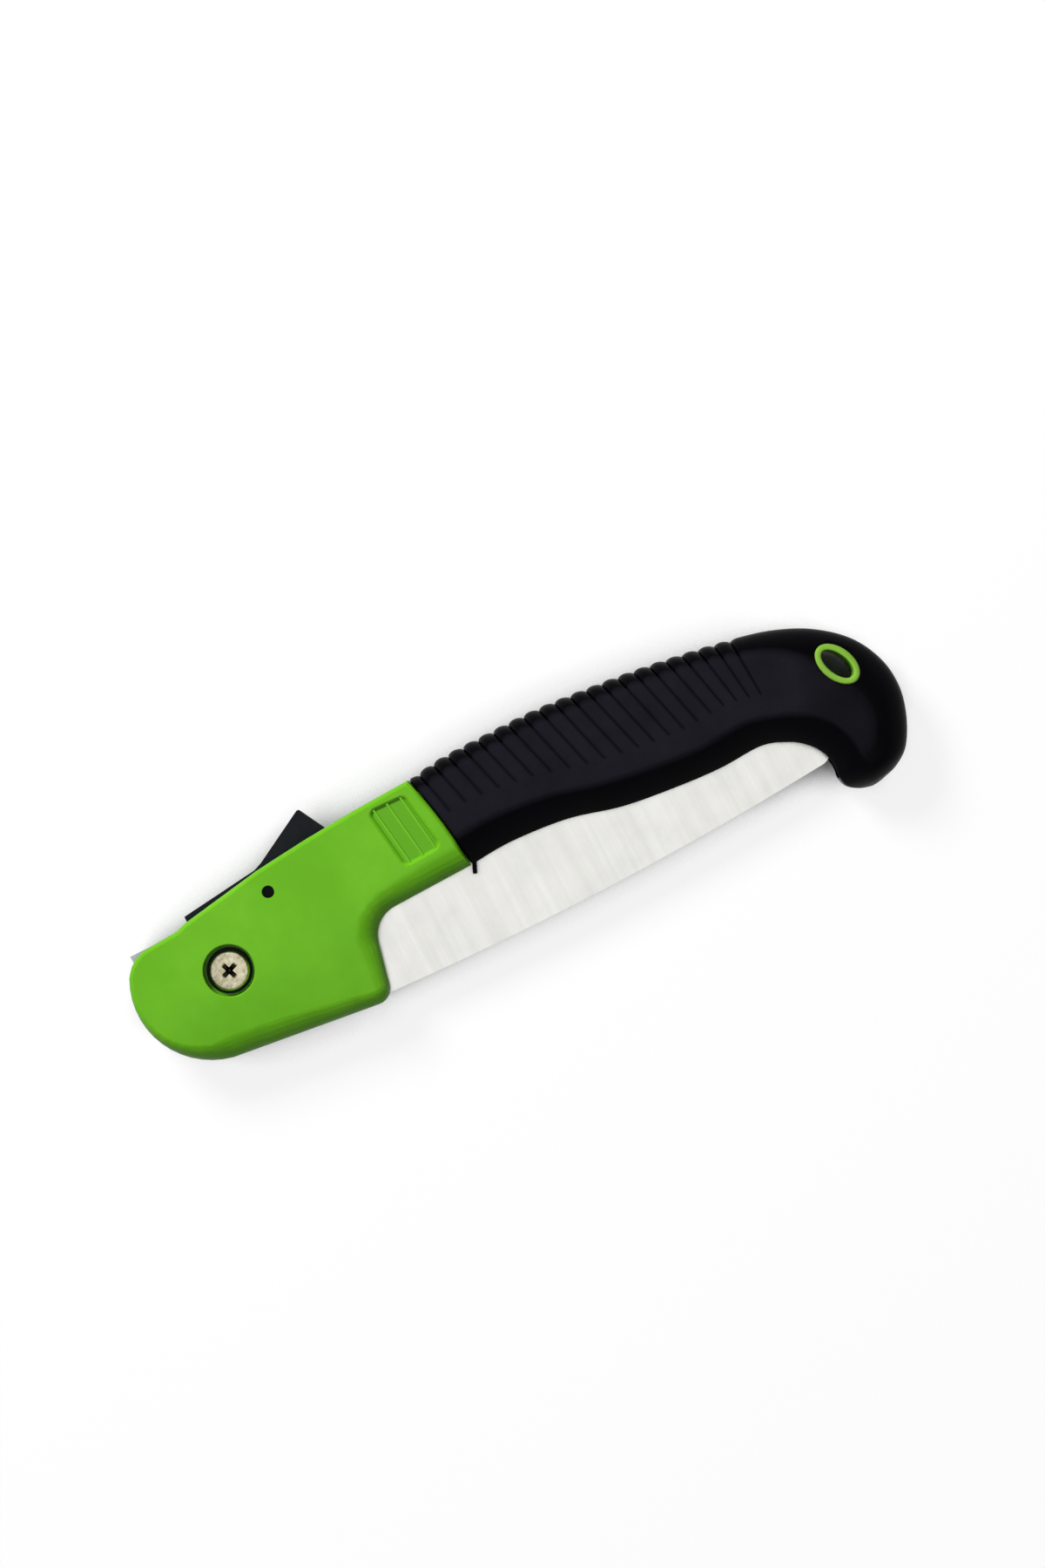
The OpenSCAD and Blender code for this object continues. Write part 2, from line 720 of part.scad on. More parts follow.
module blade_outline() {
    tang_steps = 40;
    tang_from = 38;
    shoulder_r = 8;
    spine_steps = 12;
    spine_from = 38;
    spine_to = tip_low.x - 3;
    polygon(concat(
        arc([0, 0], tang_r, tang_from, tang_to, tang_steps),
        fillet(tang_r * [cos(tang_to), sin(tang_to)], shoulder, blade_spine(spine_from), shoulder_r, 5),
        [for (i = [0:spine_steps]) blade_spine(spine_from + (spine_to - spine_from) * i / spine_steps)],
        fillet(blade_spine(spine_to), tip_low, tip_high, tip_r, 4),
        fillet(tip_low, tip_high, toe, tip_r, 4),
        [toe],
        [for (t = teeth) each t],
        [heel]
    ));
}

module blade() {
    color(steel) translate([0, 0, blade_low])
        difference() {
            linear_extrude(blade_t)
                difference() {
                    blade_outline();
                    circle(d = bush_d + 2 * running);
                    notch();
                    rotate(open_angle) notch();
                }
            tooth_grinds();
        }
}

// Pivot

module pivot_bush() {
    color(steel) translate([0, 0, nut_pocket + seat])
        difference() {
            cylinder(d = bush_d, h = counterbore_floor - nut_pocket - 2 * seat);
            translate([0, 0, -1]) cylinder(d = screw_d + 2 * running, h = far);
        }
}

module pivot_screw() {
    head_z = counterbore_floor + washer_t + 2 * seat;
    head_top = head_z + screw_head_h;
    low = nut_sunk - thread_past_nut;
    dome = 0.45;
    edge = 1.2;
    recess_share = 0.55;
    recess = [recess_share * screw_head_d, 1.4, 2.2];
    recess_turn = 20;
    color(nickel) difference() {
        union() {
            translate([0, 0, head_z])
                rotate_extrude()
                    polygon(concat(
                        [[0, 0], [screw_head_d / 2, 0]],
                        arc([screw_head_d / 2 - edge, screw_head_h - dome - edge], edge, 0, 70, 4),
                        [[0, screw_head_h]]
                    ));
            translate([0, 0, low]) cylinder(d = screw_d, h = head_z - low + eps);
        }
        intersection() {
            translate([0, 0, head_top - recess.z])
                cylinder(d1 = recess.y / 2, d2 = 1.5 * recess.x, h = 1.5 * recess.z);
            for (a = [0, 90])
                rotate(a + recess_turn)
                    translate([-recess.x / 2, -recess.y / 2, head_z]) cube([recess.x, recess.y, far]);
        }
    }
}

module ring(outer, inner, h) {
    difference() {
        cylinder(d = outer, h = h);
        translate([0, 0, -1]) cylinder(d = inner, h = h + 2);
    }
}

module screw_washer() {
    color(steel) translate([0, 0, counterbore_floor + seat])
        ring(washer_d, screw_d + 2 * washer_play, washer_t);
}

module pivot_nut() {
    color(nickel) translate([0, 0, nut_pocket - nut_t])
        difference() {
            intersection() {
                cylinder(d = nut_w / cos(30), h = nut_t, $fn = 6);
                translate([0, 0, -eps]) cylinder(d1 = nut_w * 0.98, d2 = nut_w * 1.5, h = nut_t + 2 * eps);
            }
            translate([0, 0, -1]) cylinder(d = screw_d + 2 * seat, h = far);
        }
}

module upper_blade_washer() {
    color(nylon) translate([0, 0, mid + blade_t / 2 + seat]) ring(disc_d, bush_d + 2 * running, disc_t);
}

module lower_blade_washer() {
    color(nylon) translate([0, 0, blade_low - seat - disc_t]) ring(disc_d, bush_d + 2 * running, disc_t);
}

// Liners: a bare corner of each stands out at the head's top front

liner_inset = 2;
liner_from = 146;
liner_to = 250;
liner_corner = [-23.4, 16.4];
liner_front = [-23.2, 13.9];
liner_low = [24, -20];
liner_back = [26, 9];
liner_high = [26, 19.5];
liner_top = [[-5, 16], [-9, 16.1]];
module liner() {
    linear_extrude(liner_t - seat)
        difference() {
            polygon(concat(
                [liner_corner, liner_front],
                arc(nose_c, nose_r - liner_inset, liner_from, liner_to, 12),
                [liner_low, liner_back, liner_high],
                liner_top
            ));
            circle(d = bush_d + 2 * seat);
            translate(pin_at) circle(d = pin_d + 2 * seat);
        }
}

module upper_liner() {
    color(steel) translate([0, 0, slot_high - liner_t]) liner();
}

module lower_liner() {
    color(steel) translate([0, 0, slot_low + seat]) liner();
}

// Lock lever

lever_top = [19, 21.75];
lever_front_top = 19.3;
boss_from = 190;
boss_to = 350;
module lever_outline() {
    boss_steps = 10;
    polygon(concat(
        [[nose_front, lever_front_top], [nose_front, nose_points[0].y], nose_points[1], nose_points[2]],
        [[nose_back + 0.6, lever_belly], [pin_at.x - boss_r - 2, lever_belly]],
        arc(pin_at, boss_r, boss_from, boss_to, boss_steps),
        [[pin_at.x + boss_r + 3, thumb_under], [thumb_back.x, thumb_under], thumb_back],
        fillet(thumb_back, thumb_top, thumb_start, 0.6, 3),
        [thumb_start, lever_top]
    ));
}

module lock_lever() {
    color(charcoal) translate([0, 0, mid - lever_w / 2])
        difference() {
            linear_extrude(lever_w) lever_outline();
            translate([pin_at.x, pin_at.y, -1]) cylinder(d = pin_d + 2 * running, h = far);
        }
}

module lever_pin() {
    color(steel) translate([pin_at.x, pin_at.y, pin_recess])
        cylinder(d = pin_d, h = handle_t - 2 * pin_recess);
}

// Spring under the thumb wedge, one tube wound along Y
module lever_spring() {
    sides = 6;
    rings_a_turn = 8;
    spring_play = 0.1;
    rings = spring_turns * rings_a_turn;
    coil_r = (spring_d - spring_wire) / 2;
    low = shelf_top + spring_wire / 2 + spring_play;
    rise = thumb_under - shelf_top - spring_wire - 2 * spring_play;
    function centre(i) = [
        spring_x + coil_r * cos(i * 360 / rings_a_turn), low + rise * i / rings,
        mid + coil_r * sin(i * 360 / rings_a_turn)
    ];
    least_gap = min([
        for (i = [0:rings - rings_a_turn / 2], k = [i + rings_a_turn / 2:rings])
            norm(centre(i) - centre(k)) - spring_wire
    ]);
    echo(spring_least_gap = least_gap);
    points = [
        for (i = [0:rings], k = [0:sides - 1])
            let (
                a = i * 360 / rings_a_turn, w = k * 360 / sides, c = centre(i),
                out = [cos(a), 0, sin(a)]
            )
            c + spring_wire / 2 * (out * cos(w) + [0, sin(w), 0])
    ];
    faces = concat(
        [for (i = [0:rings - 1]) each band(i * sides, (i + 1) * sides, sides)],
        [for (k = [1:sides - 2]) [0, k + 1, k]],
        [for (k = [1:sides - 2]) [rings * sides, rings * sides + k, rings * sides + k + 1]]
    );
    color(steel) polyhedron(points, faces);
}

handle_core();
grip_overmould();
lanyard_eyelet();
blade();
pivot_bush();
pivot_screw();
screw_washer();
pivot_nut();
upper_blade_washer();
lower_blade_washer();
upper_liner();
lower_liner();
lock_lever();
lever_pin();
lever_spring();
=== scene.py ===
"""Looks of a folding pruning saw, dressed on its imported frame.

The saw lies folded on its side. Every piece is in metres in the frame's own axes: +X runs from the
blade's pivot to the hooked end, +Y to the lever's side and +Z up through the thickness.
Sizes in the classes are in millimetres and angles in degrees, where nothing else is said.
"""
import bisect
import logging
import math
from collections.abc import Callable, Iterable, Iterator
from dataclasses import dataclass, field, replace
from enum import Enum, IntEnum

import bmesh
import bpy
from mathutils import Matrix, Vector
from mathutils.bvhtree import BVHTree


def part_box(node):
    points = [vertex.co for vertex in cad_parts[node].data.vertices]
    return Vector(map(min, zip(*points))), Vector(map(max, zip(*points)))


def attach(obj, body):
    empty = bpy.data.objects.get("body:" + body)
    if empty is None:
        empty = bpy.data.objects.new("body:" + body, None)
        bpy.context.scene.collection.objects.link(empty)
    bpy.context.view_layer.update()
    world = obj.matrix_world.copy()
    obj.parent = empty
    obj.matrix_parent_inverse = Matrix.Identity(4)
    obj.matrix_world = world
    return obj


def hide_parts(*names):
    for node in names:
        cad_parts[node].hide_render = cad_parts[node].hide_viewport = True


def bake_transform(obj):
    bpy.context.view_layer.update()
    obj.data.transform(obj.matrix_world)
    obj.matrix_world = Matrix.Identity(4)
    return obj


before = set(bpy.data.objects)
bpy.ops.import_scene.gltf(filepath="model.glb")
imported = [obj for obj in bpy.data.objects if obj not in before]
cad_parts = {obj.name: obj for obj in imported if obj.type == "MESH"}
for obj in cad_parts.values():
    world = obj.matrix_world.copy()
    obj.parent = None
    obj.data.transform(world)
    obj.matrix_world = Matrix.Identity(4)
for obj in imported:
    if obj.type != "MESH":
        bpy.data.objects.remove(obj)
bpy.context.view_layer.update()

log = logging.getLogger("folding_saw")

MM = 0.001
MID = 11.0

Span = tuple[float, float]
Triple = tuple[float, float, float]
Colour = Triple
Socket = bpy.types.NodeSocket
Feed = Socket | float | Triple
Piece = bpy.types.Object
Material = bpy.types.Material
BMesh = bmesh.types.BMesh


class Body(Enum):
    """The bodies that pieces ride on."""

    HANDLE = "handle"
    BLADE = "saw_blade"
    LEVER = "lever"


class Slot(Enum):
    """The record's material slots, one for each kind of new piece."""

    HANDLE = "lime_plastic"
    GRIP = "black_rubber"
    EYELET = "eyelet_plastic"
    LEVER = "lever_plastic"
    SCREW = "nickel_plate"
    BLADE = "blade_steel"
    SPRING = "spring_steel"


class Grain(Enum):
    """The direction that the grain of a metal runs in, as a stretch along X, Y and Z."""

    ALONG_Y = (1.0, 0.02, 0.3)
    ALONG_X = (0.02, 1.0, 0.3)
    EVEN = (1.0, 1.0, 1.0)


def metres(span: Span) -> Span:
    """Turns a pair of millimetres into metres."""
    return span[0] * MM, span[1] * MM


# Node trees


class NodeSheet:
    """A node tree, with short calls for the nodes that the finishes and the world use."""

    def __init__(self, tree: bpy.types.NodeTree, coordinate: str) -> None:
        """Starts an empty tree with its coordinates.

        Args:
            tree: the node tree.
            coordinate: the kind of coordinates that places are read in.
        """
        self.tree = tree
        self.tree.nodes.clear()
        self.place = self.add("ShaderNodeTexCoord").outputs[coordinate]

    def add(self, kind: str, **inputs: Feed) -> bpy.types.Node:
        """Adds a node and feeds its inputs.

        Args:
            kind: the node's type.
            inputs: what the inputs are fed with.

        Returns:
            The node.
        """
        node = self.tree.nodes.new(kind)
        self.put(node, **inputs)
        return node

    def put(self, node: bpy.types.Node, **inputs: Feed) -> None:
        """Feeds a node's inputs, named with underscores for spaces."""
        for name, value in inputs.items():
            self.feed(node.inputs[name.replace("_", " ")], value)

    def feed(self, target: Socket, value: Feed) -> None:
        """Gives an input socket a link or a constant.

        Args:
            target: the input socket.
            value: an output socket, a number, a vector or a colour.
        """
        if isinstance(value, Socket):
            self.tree.links.new(value, target)
        elif isinstance(value, tuple) and target.type == "RGBA":
            target.default_value = (*value, 1.0)
        else:
            target.default_value = value

    def axis(self, letter: str) -> Socket:
        """The place along X, Y or Z."""
        return self.add("ShaderNodeSeparateXYZ", Vector=self.place).outputs[letter]

    def off_middle(self) -> Socket:
        """The distance from the saw's middle plane, in metres."""
        return self.reckon("ABSOLUTE", self.reckon("SUBTRACT", self.axis("Z"), MID * MM), 0.0)

    def shown(self) -> Socket:
        """Tells the rays that show the background from those that light the saw.

        Returns:
            1 for rays from the camera, through glass or off shiny faces, and 0 for the rest.
        """
        path = self.add("ShaderNodeLightPath").outputs
        direct = self.reckon("MAXIMUM", path["Is Camera Ray"], path["Is Transmission Ray"])
        return self.reckon("MAXIMUM", direct, path["Is Glossy Ray"])

    def scaled(self, scale: Triple, turn: float = 0.0) -> Socket:
        """The coordinates stretched along X, Y and Z, and then turned about Z by an angle."""
        way = {"Vector": self.place, "Scale": scale, "Rotation": (0.0, 0.0, math.radians(turn))}
        return self.add("ShaderNodeMapping", **way).outputs["Vector"]

    def noise(self, size_mm: float, detail: float, rough: float = 0.5, along: Socket | None = None) -> Socket:
        """Noise whose lumps have a size in millimetres.

        Args:
            size_mm: the size of a lump.
            detail: the octaves.
            rough: the share of the finer octaves.
            along: the coordinates, or None for the tree's own.

        Returns:
            The noise as a factor.
        """
        node = self.add("ShaderNodeTexNoise", Scale=1.0 / (size_mm * MM), Detail=detail, Roughness=rough)
        self.put(node, Vector=self.place if along is None else along)
        return node.outputs["Fac"]

    def spread(
        self, value: Socket, low: float, high: float, within: Span = (0.3, 0.7), smooth: bool = False
    ) -> Socket:
        """Maps a number from one range to another.

        Args:
            value: the number.
            low: the result at the lower end.
            high: the result at the upper end.
            within: the two ends.
            smooth: True to ease in and out.

        Returns:
            The mapped number.
        """
        node = self.add("ShaderNodeMapRange", Value=value, To_Min=low, To_Max=high)
        self.put(node, From_Min=within[0], From_Max=within[1])
        if smooth:
            node.interpolation_type = "SMOOTHSTEP"
        return node.outputs["Result"]

    def blend(self, factor: Socket, first: Socket | Colour, second: Socket | Colour) -> Socket:
        """Mixes two colours.

        Args:
            factor: 0 for the first colour, 1 for the second.
            first: a colour or a colour socket.
            second: a colour or a colour socket.

        Returns:
            The mixed colour.
        """
        node = self.add("ShaderNodeMix")
        node.data_type = "RGBA"
        sockets = {socket.identifier: socket for socket in (*node.inputs, *node.outputs)}
        for name, value in (("Factor_Float", factor), ("A_Color", first), ("B_Color", second)):
            self.feed(sockets[name], value)
        return sockets["Result_Color"]

    def reckon(self, operation: str, first: Socket | float, second: Socket | float) -> Socket:
        """Combines two numbers.

        Args:
            operation: the Math node's operation.
            first: a number or a socket.
            second: a number or a socket.

        Returns:
            The result.
        """
        node = self.add("ShaderNodeMath")
        node.operation = operation
        self.feed(node.inputs[0], first)
        self.feed(node.inputs[1], second)
        return node.outputs["Value"]

    def bump(self, height: Socket, depth_mm: float, under: Socket | None = None) -> Socket:
        """A bump of a depth in millimetres.

        Args:
            height: the height as a factor.
            depth_mm: the depth between factors 0 and 1.
            under: the normal of a bump below this one.

        Returns:
            The bumped normal.
        """
        node = self.add("ShaderNodeBump", Strength=1.0, Distance=depth_mm * MM, Height=height)
        if under is not None:
            self.put(node, Normal=under)
        return node.outputs["Normal"]


class MaterialSheet(NodeSheet):
    """A material's node tree with a principled shader."""

    def __init__(self, name: str) -> None:
        """Starts the material.

        Args:
            name: the material's name.
        """
        self.material = bpy.data.materials.new(name)
        self.material.use_nodes = True
        super().__init__(self.material.node_tree, "Object")
        self.shader = self.add("ShaderNodeBsdfPrincipled")
        self.output = self.add("ShaderNodeOutputMaterial", Surface=self.shader.outputs["BSDF"])

    def set(self, **inputs: Feed) -> None:
        """Feeds the shader's inputs."""
        self.put(self.shader, **inputs)


# Finishes


@dataclass(frozen=True)
class PaintedPocketShade:
    """A painted shade: a deeper colour on the floor of a shallow pocket in both cheeks."""

    colour: Colour
    x_mm: Span
    y_mm: Span
    floor_mm: Span

    def over(self, sheet: NodeSheet, colour: Socket) -> Socket:
        """Lays the painted shade over a colour.

        Args:
            sheet: the material's node tree.
            colour: the colour outside the pocket.

        Returns:
            The colour with the tone.
        """
        inside = sheet.spread(sheet.off_middle(), 1.0, 0.0, metres(self.floor_mm))
        for letter, (low, high) in (("X", self.x_mm), ("Y", self.y_mm)):
            for operation, limit in (("GREATER_THAN", low), ("LESS_THAN", high)):
                side = sheet.reckon(operation, sheet.axis(letter), limit * MM)
                inside = sheet.reckon("MULTIPLY", inside, side)
        return sheet.blend(inside, colour, self.colour)


@dataclass(frozen=True)
class MouldedPlastic:
    """Moulded plastic with a fine spark-eroded grain and a slightly uneven colour."""

    name: str
    colour: Colour
    deep: Colour
    roughness: Span = (0.36, 0.46)
    grain_mm: float = 0.22
    grain_depth_mm: float = 0.006
    specular: float = 0.24
    pocket_shade: PaintedPocketShade | None = None
    flow_mm: float = 26.0
    cloud_mm: float = 5.0
    swell_mm: float = 14.0
    swell_depth_mm: float = 0.05
    gloss_mm: float = 2.0

    def material(self) -> Material:
        """Makes the material.

        Returns:
            The material.
        """
        sheet = MaterialSheet(self.name)
        flow = sheet.noise(self.flow_mm, detail=2.0)
        cloud = sheet.spread(sheet.noise(self.cloud_mm, detail=4.0, rough=0.6), low=0.7, high=1.0)
        mottle = sheet.spread(sheet.reckon("MULTIPLY", flow, cloud), 0.0, 1.0, within=(0.25, 0.6))
        colour = sheet.blend(mottle, self.deep, self.colour)
        # Painted shade on the floor of the pocket, where one is given.
        if self.pocket_shade is not None:
            colour = self.pocket_shade.over(sheet, colour)
        swell = sheet.bump(sheet.noise(self.swell_mm, detail=1.0), self.swell_depth_mm)
        sheet.set(
            Base_Color=colour,
            Roughness=sheet.spread(sheet.noise(self.gloss_mm, detail=4.0), *self.roughness),
            Normal=sheet.bump(sheet.noise(self.grain_mm, detail=2.0), self.grain_depth_mm, swell),
            Specular_IOR_Level=self.specular,
        )
        return sheet.material


@dataclass(frozen=True)
class SoftRubber:
    """Soft black rubber with a fine pebble and patchy bloom, and a painted sheen that makes its broad flats
    paler in patches.
    """

    name: str
    colour: Colour
    bloom: Colour
    # The next colour and the heights after it give the painted sheen: paler broad flats, as overhead light
    # would make them.
    flat_sheen: Colour
    sheen_from_mm: Span = (10.3, 10.95)
    roughness: Span = (0.34, 0.44)
    pebble_mm: float = 0.35
    pebble_depth_mm: float = 0.014
    specular: float = 0.05
    bloom_mm: float = 7.0
    sheen_patch_mm: float = 11.0
    gloss_mm: float = 1.5

    def material(self) -> Material:
        """Makes the material.

        Returns:
            The material.
        """
        sheet = MaterialSheet(self.name)
        patch = sheet.noise(self.bloom_mm, detail=4.0, rough=0.6)
        bloomed = sheet.blend(sheet.spread(patch, 0.0, 0.55, within=(0.4, 0.75)), self.colour, self.bloom)
        # Painted sheen: the broad flats, far from the middle plane, turn paler in patches.
        flat = sheet.spread(sheet.off_middle(), 0.0, 1.0, metres(self.sheen_from_mm))
        sheen_patches = sheet.spread(sheet.noise(self.sheen_patch_mm, detail=4.0, rough=0.6), low=0.65, high=1.0)
        pebble = sheet.noise(self.pebble_mm, detail=2.0, rough=0.4)
        sheet.set(
            Base_Color=sheet.blend(sheet.reckon("MULTIPLY", flat, sheen_patches), bloomed, self.flat_sheen),
            Roughness=sheet.spread(sheet.noise(self.gloss_mm, detail=4.0), *self.roughness),
            Normal=sheet.bump(pebble, self.pebble_depth_mm),
            Specular_IOR_Level=self.specular,
        )
        return sheet.material


@dataclass(frozen=True)
class GroundMetal:
    """Bare metal with a ground, rolled or turned grain."""

    name: str
    colour: Colour
    deep: Colour
    grain: Grain = Grain.EVEN
    grain_mm: float = 0.2
    grain_depth_mm: float = 0.002
    roughness: Span = (0.25, 0.4)
    band_grains: float = 4.0
    stain_mm: float = 9.0

    def material(self) -> Material:
        """Makes the material.

        Returns:
            The material.
        """
        sheet = MaterialSheet(self.name)
        drawn = sheet.scaled(self.grain.value)
        lines = sheet.noise(self.grain_mm, detail=3.0, rough=0.6, along=drawn)
        bands = sheet.noise(self.grain_mm * self.band_grains, detail=2.0, along=drawn)
        stain = sheet.spread(sheet.noise(self.stain_mm, detail=4.0, rough=0.6), low=-0.03, high=0.05)
        tone = sheet.reckon("ADD", sheet.spread(lines, 0.0, 0.5), sheet.spread(bands, 0.0, 0.5))
        sheet.set(
            Base_Color=sheet.blend(tone, self.deep, self.colour),
            Metallic=1.0,
            Roughness=sheet.reckon("ADD", sheet.spread(lines, *self.roughness), stain),
            Normal=sheet.bump(lines, self.grain_depth_mm),
        )
        return sheet.material


@dataclass(frozen=True)
class WornPlate:
    """Bright plating with fine scratches and dull yellowed patches, and a painted shade low in a recess on
    the Z axis.
    """

    name: str
    colour: Colour
    worn: Colour
    roughness: Span = (0.12, 0.26)
    patch_mm: float = 1.6
    scratch_mm: float = 0.12
    scratch_depth_mm: float = 0.003
    scratch_stretch: Triple = (1.0, 0.05, 1.0)
    scratch_turn: float = 35.0
    recess_shade: Colour = (0.020, 0.018, 0.012)
    shade_radius_mm: float = 0.0
    shade_fade_mm: float = 0.1
    shade_from_mm: Span = (-1.0, 0.0)

    def material(self) -> Material:
        """Makes the material.

        Returns:
            The material.
        """
        sheet = MaterialSheet(self.name)
        patch = sheet.noise(self.patch_mm, detail=5.0, rough=0.65)
        slant = sheet.scaled(self.scratch_stretch, self.scratch_turn)
        # Painted shade: the plate darkens inside a radius round the Z axis, low in the recess.
        reach = sheet.add("ShaderNodeVectorMath", Vector=sheet.scaled((1.0, 1.0, 0.0)))
        reach.operation = "LENGTH"
        edge = metres((self.shade_radius_mm, self.shade_radius_mm + self.shade_fade_mm))
        inside = sheet.spread(reach.outputs["Value"], 1.0, 0.0, edge)
        low = sheet.spread(sheet.axis("Z"), 1.0, 0.0, metres(self.shade_from_mm))
        plate = sheet.blend(sheet.spread(patch, 0.0, 1.0, within=(0.35, 0.7)), self.colour, self.worn)
        sheet.set(
            Base_Color=sheet.blend(sheet.reckon("MULTIPLY", inside, low), plate, self.recess_shade),
            Metallic=1.0,
            Roughness=sheet.spread(patch, *self.roughness),
            Normal=sheet.bump(sheet.noise(self.scratch_mm, detail=2.0, along=slant), self.scratch_depth_mm),
        )
        return sheet.material


# Painted shade on the floor of the cheeks' ribbed panel.
PANEL_SHADE = PaintedPocketShade(
    (0.116, 0.392, 0.010), x_mm=(54.0, 70.0), y_mm=(2.6, 21.7), floor_mm=(10.15, 10.5)
)
LIME = MouldedPlastic(
    "lime_moulded_plastic", (0.158, 0.495, 0.014), (0.128, 0.435, 0.009), pocket_shade=PANEL_SHADE
)
EYELET_GREEN = MouldedPlastic("eyelet_plastic", (0.270, 0.520, 0.060), (0.220, 0.460, 0.045))
# The grip's third colour is its painted sheen on the broad flats.
RUBBER = SoftRubber(
    "grip_rubber", (0.0009, 0.0009, 0.0016), (0.0017, 0.0017, 0.0029), (0.0120, 0.0114, 0.0176)
)
CHARCOAL = MouldedPlastic(
    "lever_plastic", (0.0090, 0.0100, 0.0135), (0.0060, 0.0066, 0.0090),
    roughness=(0.42, 0.55), grain_mm=0.3, grain_depth_mm=0.010, specular=0.15,
)
BLADE_STEEL = GroundMetal(
    "ground_blade_steel", (0.87, 0.865, 0.835), (0.74, 0.735, 0.70),
    Grain.ALONG_Y, grain_mm=0.75, grain_depth_mm=0.0005, roughness=(0.20, 0.26),
)
LINER_STEEL = GroundMetal("rolled_liner_steel", (0.60, 0.61, 0.63), (0.45, 0.46, 0.48), Grain.ALONG_X)
TURNED_STEEL = GroundMetal("turned_steel", (0.52, 0.52, 0.53), (0.40, 0.40, 0.41), grain_mm=0.15)
SPRING_WIRE = GroundMetal("spring_wire", (0.34, 0.34, 0.36), (0.22, 0.22, 0.24), grain_mm=0.1)
# Near-black steel for the pin and the screw's washer: painted shade, darker than plain steel, standing in for
# the shade in the pin's hole and round the screw head.
SHADE_BLACK_STEEL = GroundMetal("shade_black_steel", (0.010, 0.010, 0.011), (0.006, 0.006, 0.007), grain_mm=0.15)
NICKEL = WornPlate("worn_nickel", (0.74, 0.70, 0.52), (0.42, 0.36, 0.20))
NYLON = MouldedPlastic("natural_nylon", (0.70, 0.68, 0.58), (0.64, 0.62, 0.52), roughness=(0.42, 0.52))


# Mesh helpers


@dataclass(frozen=True)
class Rounding:
    """How edges are rounded: the width, its steps and the least turn of an edge.

    Points within join become one, and so do faces within the angle flat. The width is at most room_share
    of the shortest edge beside it.
    """

    width: float
    steps: int
    above: float
    join: float = 0.03
    flat: float = 0.4
    room_share: float = 0.4


def piece_from(bm: BMesh, name: str, smooth_below: float = 40.0) -> Piece:
    """Turns a bmesh into a linked object with smooth faces and sharp edges.

    Args:
        bm: the mesh, which is freed.
        name: the object's name.
        smooth_below: edges that turn by this angle or more stay sharp.

    Returns:
        The new object.
    """
    limit = math.radians(smooth_below)
    for edge in bm.edges:
        edge.smooth = len(edge.link_faces) == 2 and edge.calc_face_angle(0.0) < limit
    for face in bm.faces:
        face.smooth = True
    mesh = bpy.data.meshes.new(name)
    bm.to_mesh(mesh)
    bm.free()
    piece = bpy.data.objects.new(name, mesh)
    bpy.context.scene.collection.objects.link(piece)
    return piece


def even_shading(piece: Piece) -> None:
    """Lets the large faces of a piece rule its shading."""
    piece.modifiers.new("even_shading", "WEIGHTED_NORMAL").keep_sharp = True


def loft(bm: BMesh, rings: Iterator[list[Vector]], caps: bool) -> list[bmesh.types.BMEdge]:
    """Extrudes a closed ring through places, one ring of points at a time.

    Args:
        bm: the mesh that is added to.
        rings: the rings of points, all with the same count.
        caps: True to close the first and last ring with a face.

    Returns:
        The edges of the first ring and, after them, those of the last.
    """
    line = [bm.verts.new(point) for point in next(rings)]
    edges = [bm.edges.new(pair) for pair in zip(line, line[1:] + line[:1])]
    first = list(edges)
    for ring in rings:
        grown = bmesh.ops.extrude_edge_only(bm, edges=edges)["geom"]
        fresh = {item for item in grown if isinstance(item, bmesh.types.BMVert)}
        line = [
            next(edge.other_vert(vert) for edge in vert.link_edges if edge.other_vert(vert) in fresh)
            for vert in line
        ]
        edges = [bm.edges.get(pair) for pair in zip(line, line[1:] + line[:1])]
        for vert, point in zip(line, ring):
            vert.co = point
    if caps:
        bmesh.ops.contextual_create(bm, geom=first)
        bmesh.ops.contextual_create(bm, geom=edges)
    return first + edges


def refined_copy(
    node: str, name: str, rounding: Rounding, stays_sharp: Callable[[Vector], bool] | None = None
) -> Piece:
    """Copies a CAD node, joins its loose triangles and rounds its edges.

    Args:
        node: the CAD node's name.
        name: the new object's name.
        rounding: how the edges are rounded.
        stays_sharp: tells of a place in millimetres whether the edges there are left alone.

    Returns:
        The new object, which stands for the node.
    """
    bm = bmesh.new()
    bm.from_mesh(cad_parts[node].data)
    bmesh.ops.remove_doubles(bm, verts=bm.verts, dist=rounding.join * MM)
    flat = math.radians(rounding.flat)
    bmesh.ops.dissolve_limit(bm, angle_limit=flat, verts=bm.verts, edges=bm.edges)
    weight = bm.edges.layers.float.new("bevel_weight_edge")
    for edge in bm.edges:
        if edge.calc_face_angle(0.0) < math.radians(rounding.above):
            continue
        if stays_sharp is not None and all(stays_sharp(vert.co / MM) for vert in edge.verts):
            continue
        room = min(other.calc_length() for vert in edge.verts for other in vert.link_edges) / MM
        edge[weight] = min(1.0, rounding.room_share * room / rounding.width)
    piece = piece_from(bm, name, rounding.above)
    bevel = piece.modifiers.new("edge_rounding", "BEVEL")
    bevel.width = rounding.width * MM
    bevel.segments = rounding.steps
    bevel.limit_method = "WEIGHT"
    bevel.use_clamp_overlap = False
    even_shading(piece)
    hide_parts(node)
    return piece


def dress(piece: Piece, material: Material, body: Body, slot: Slot) -> None:
    """Gives a new piece its material and body.

    Args:
        piece: the new piece.
        material: its material.
        body: the body that it rides on.
        slot: not used.
    """
    piece.data.materials.clear()
    piece.data.materials.append(material)
    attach(piece, body.value)
    log.info("piece %s on %s", piece.name, body.value)


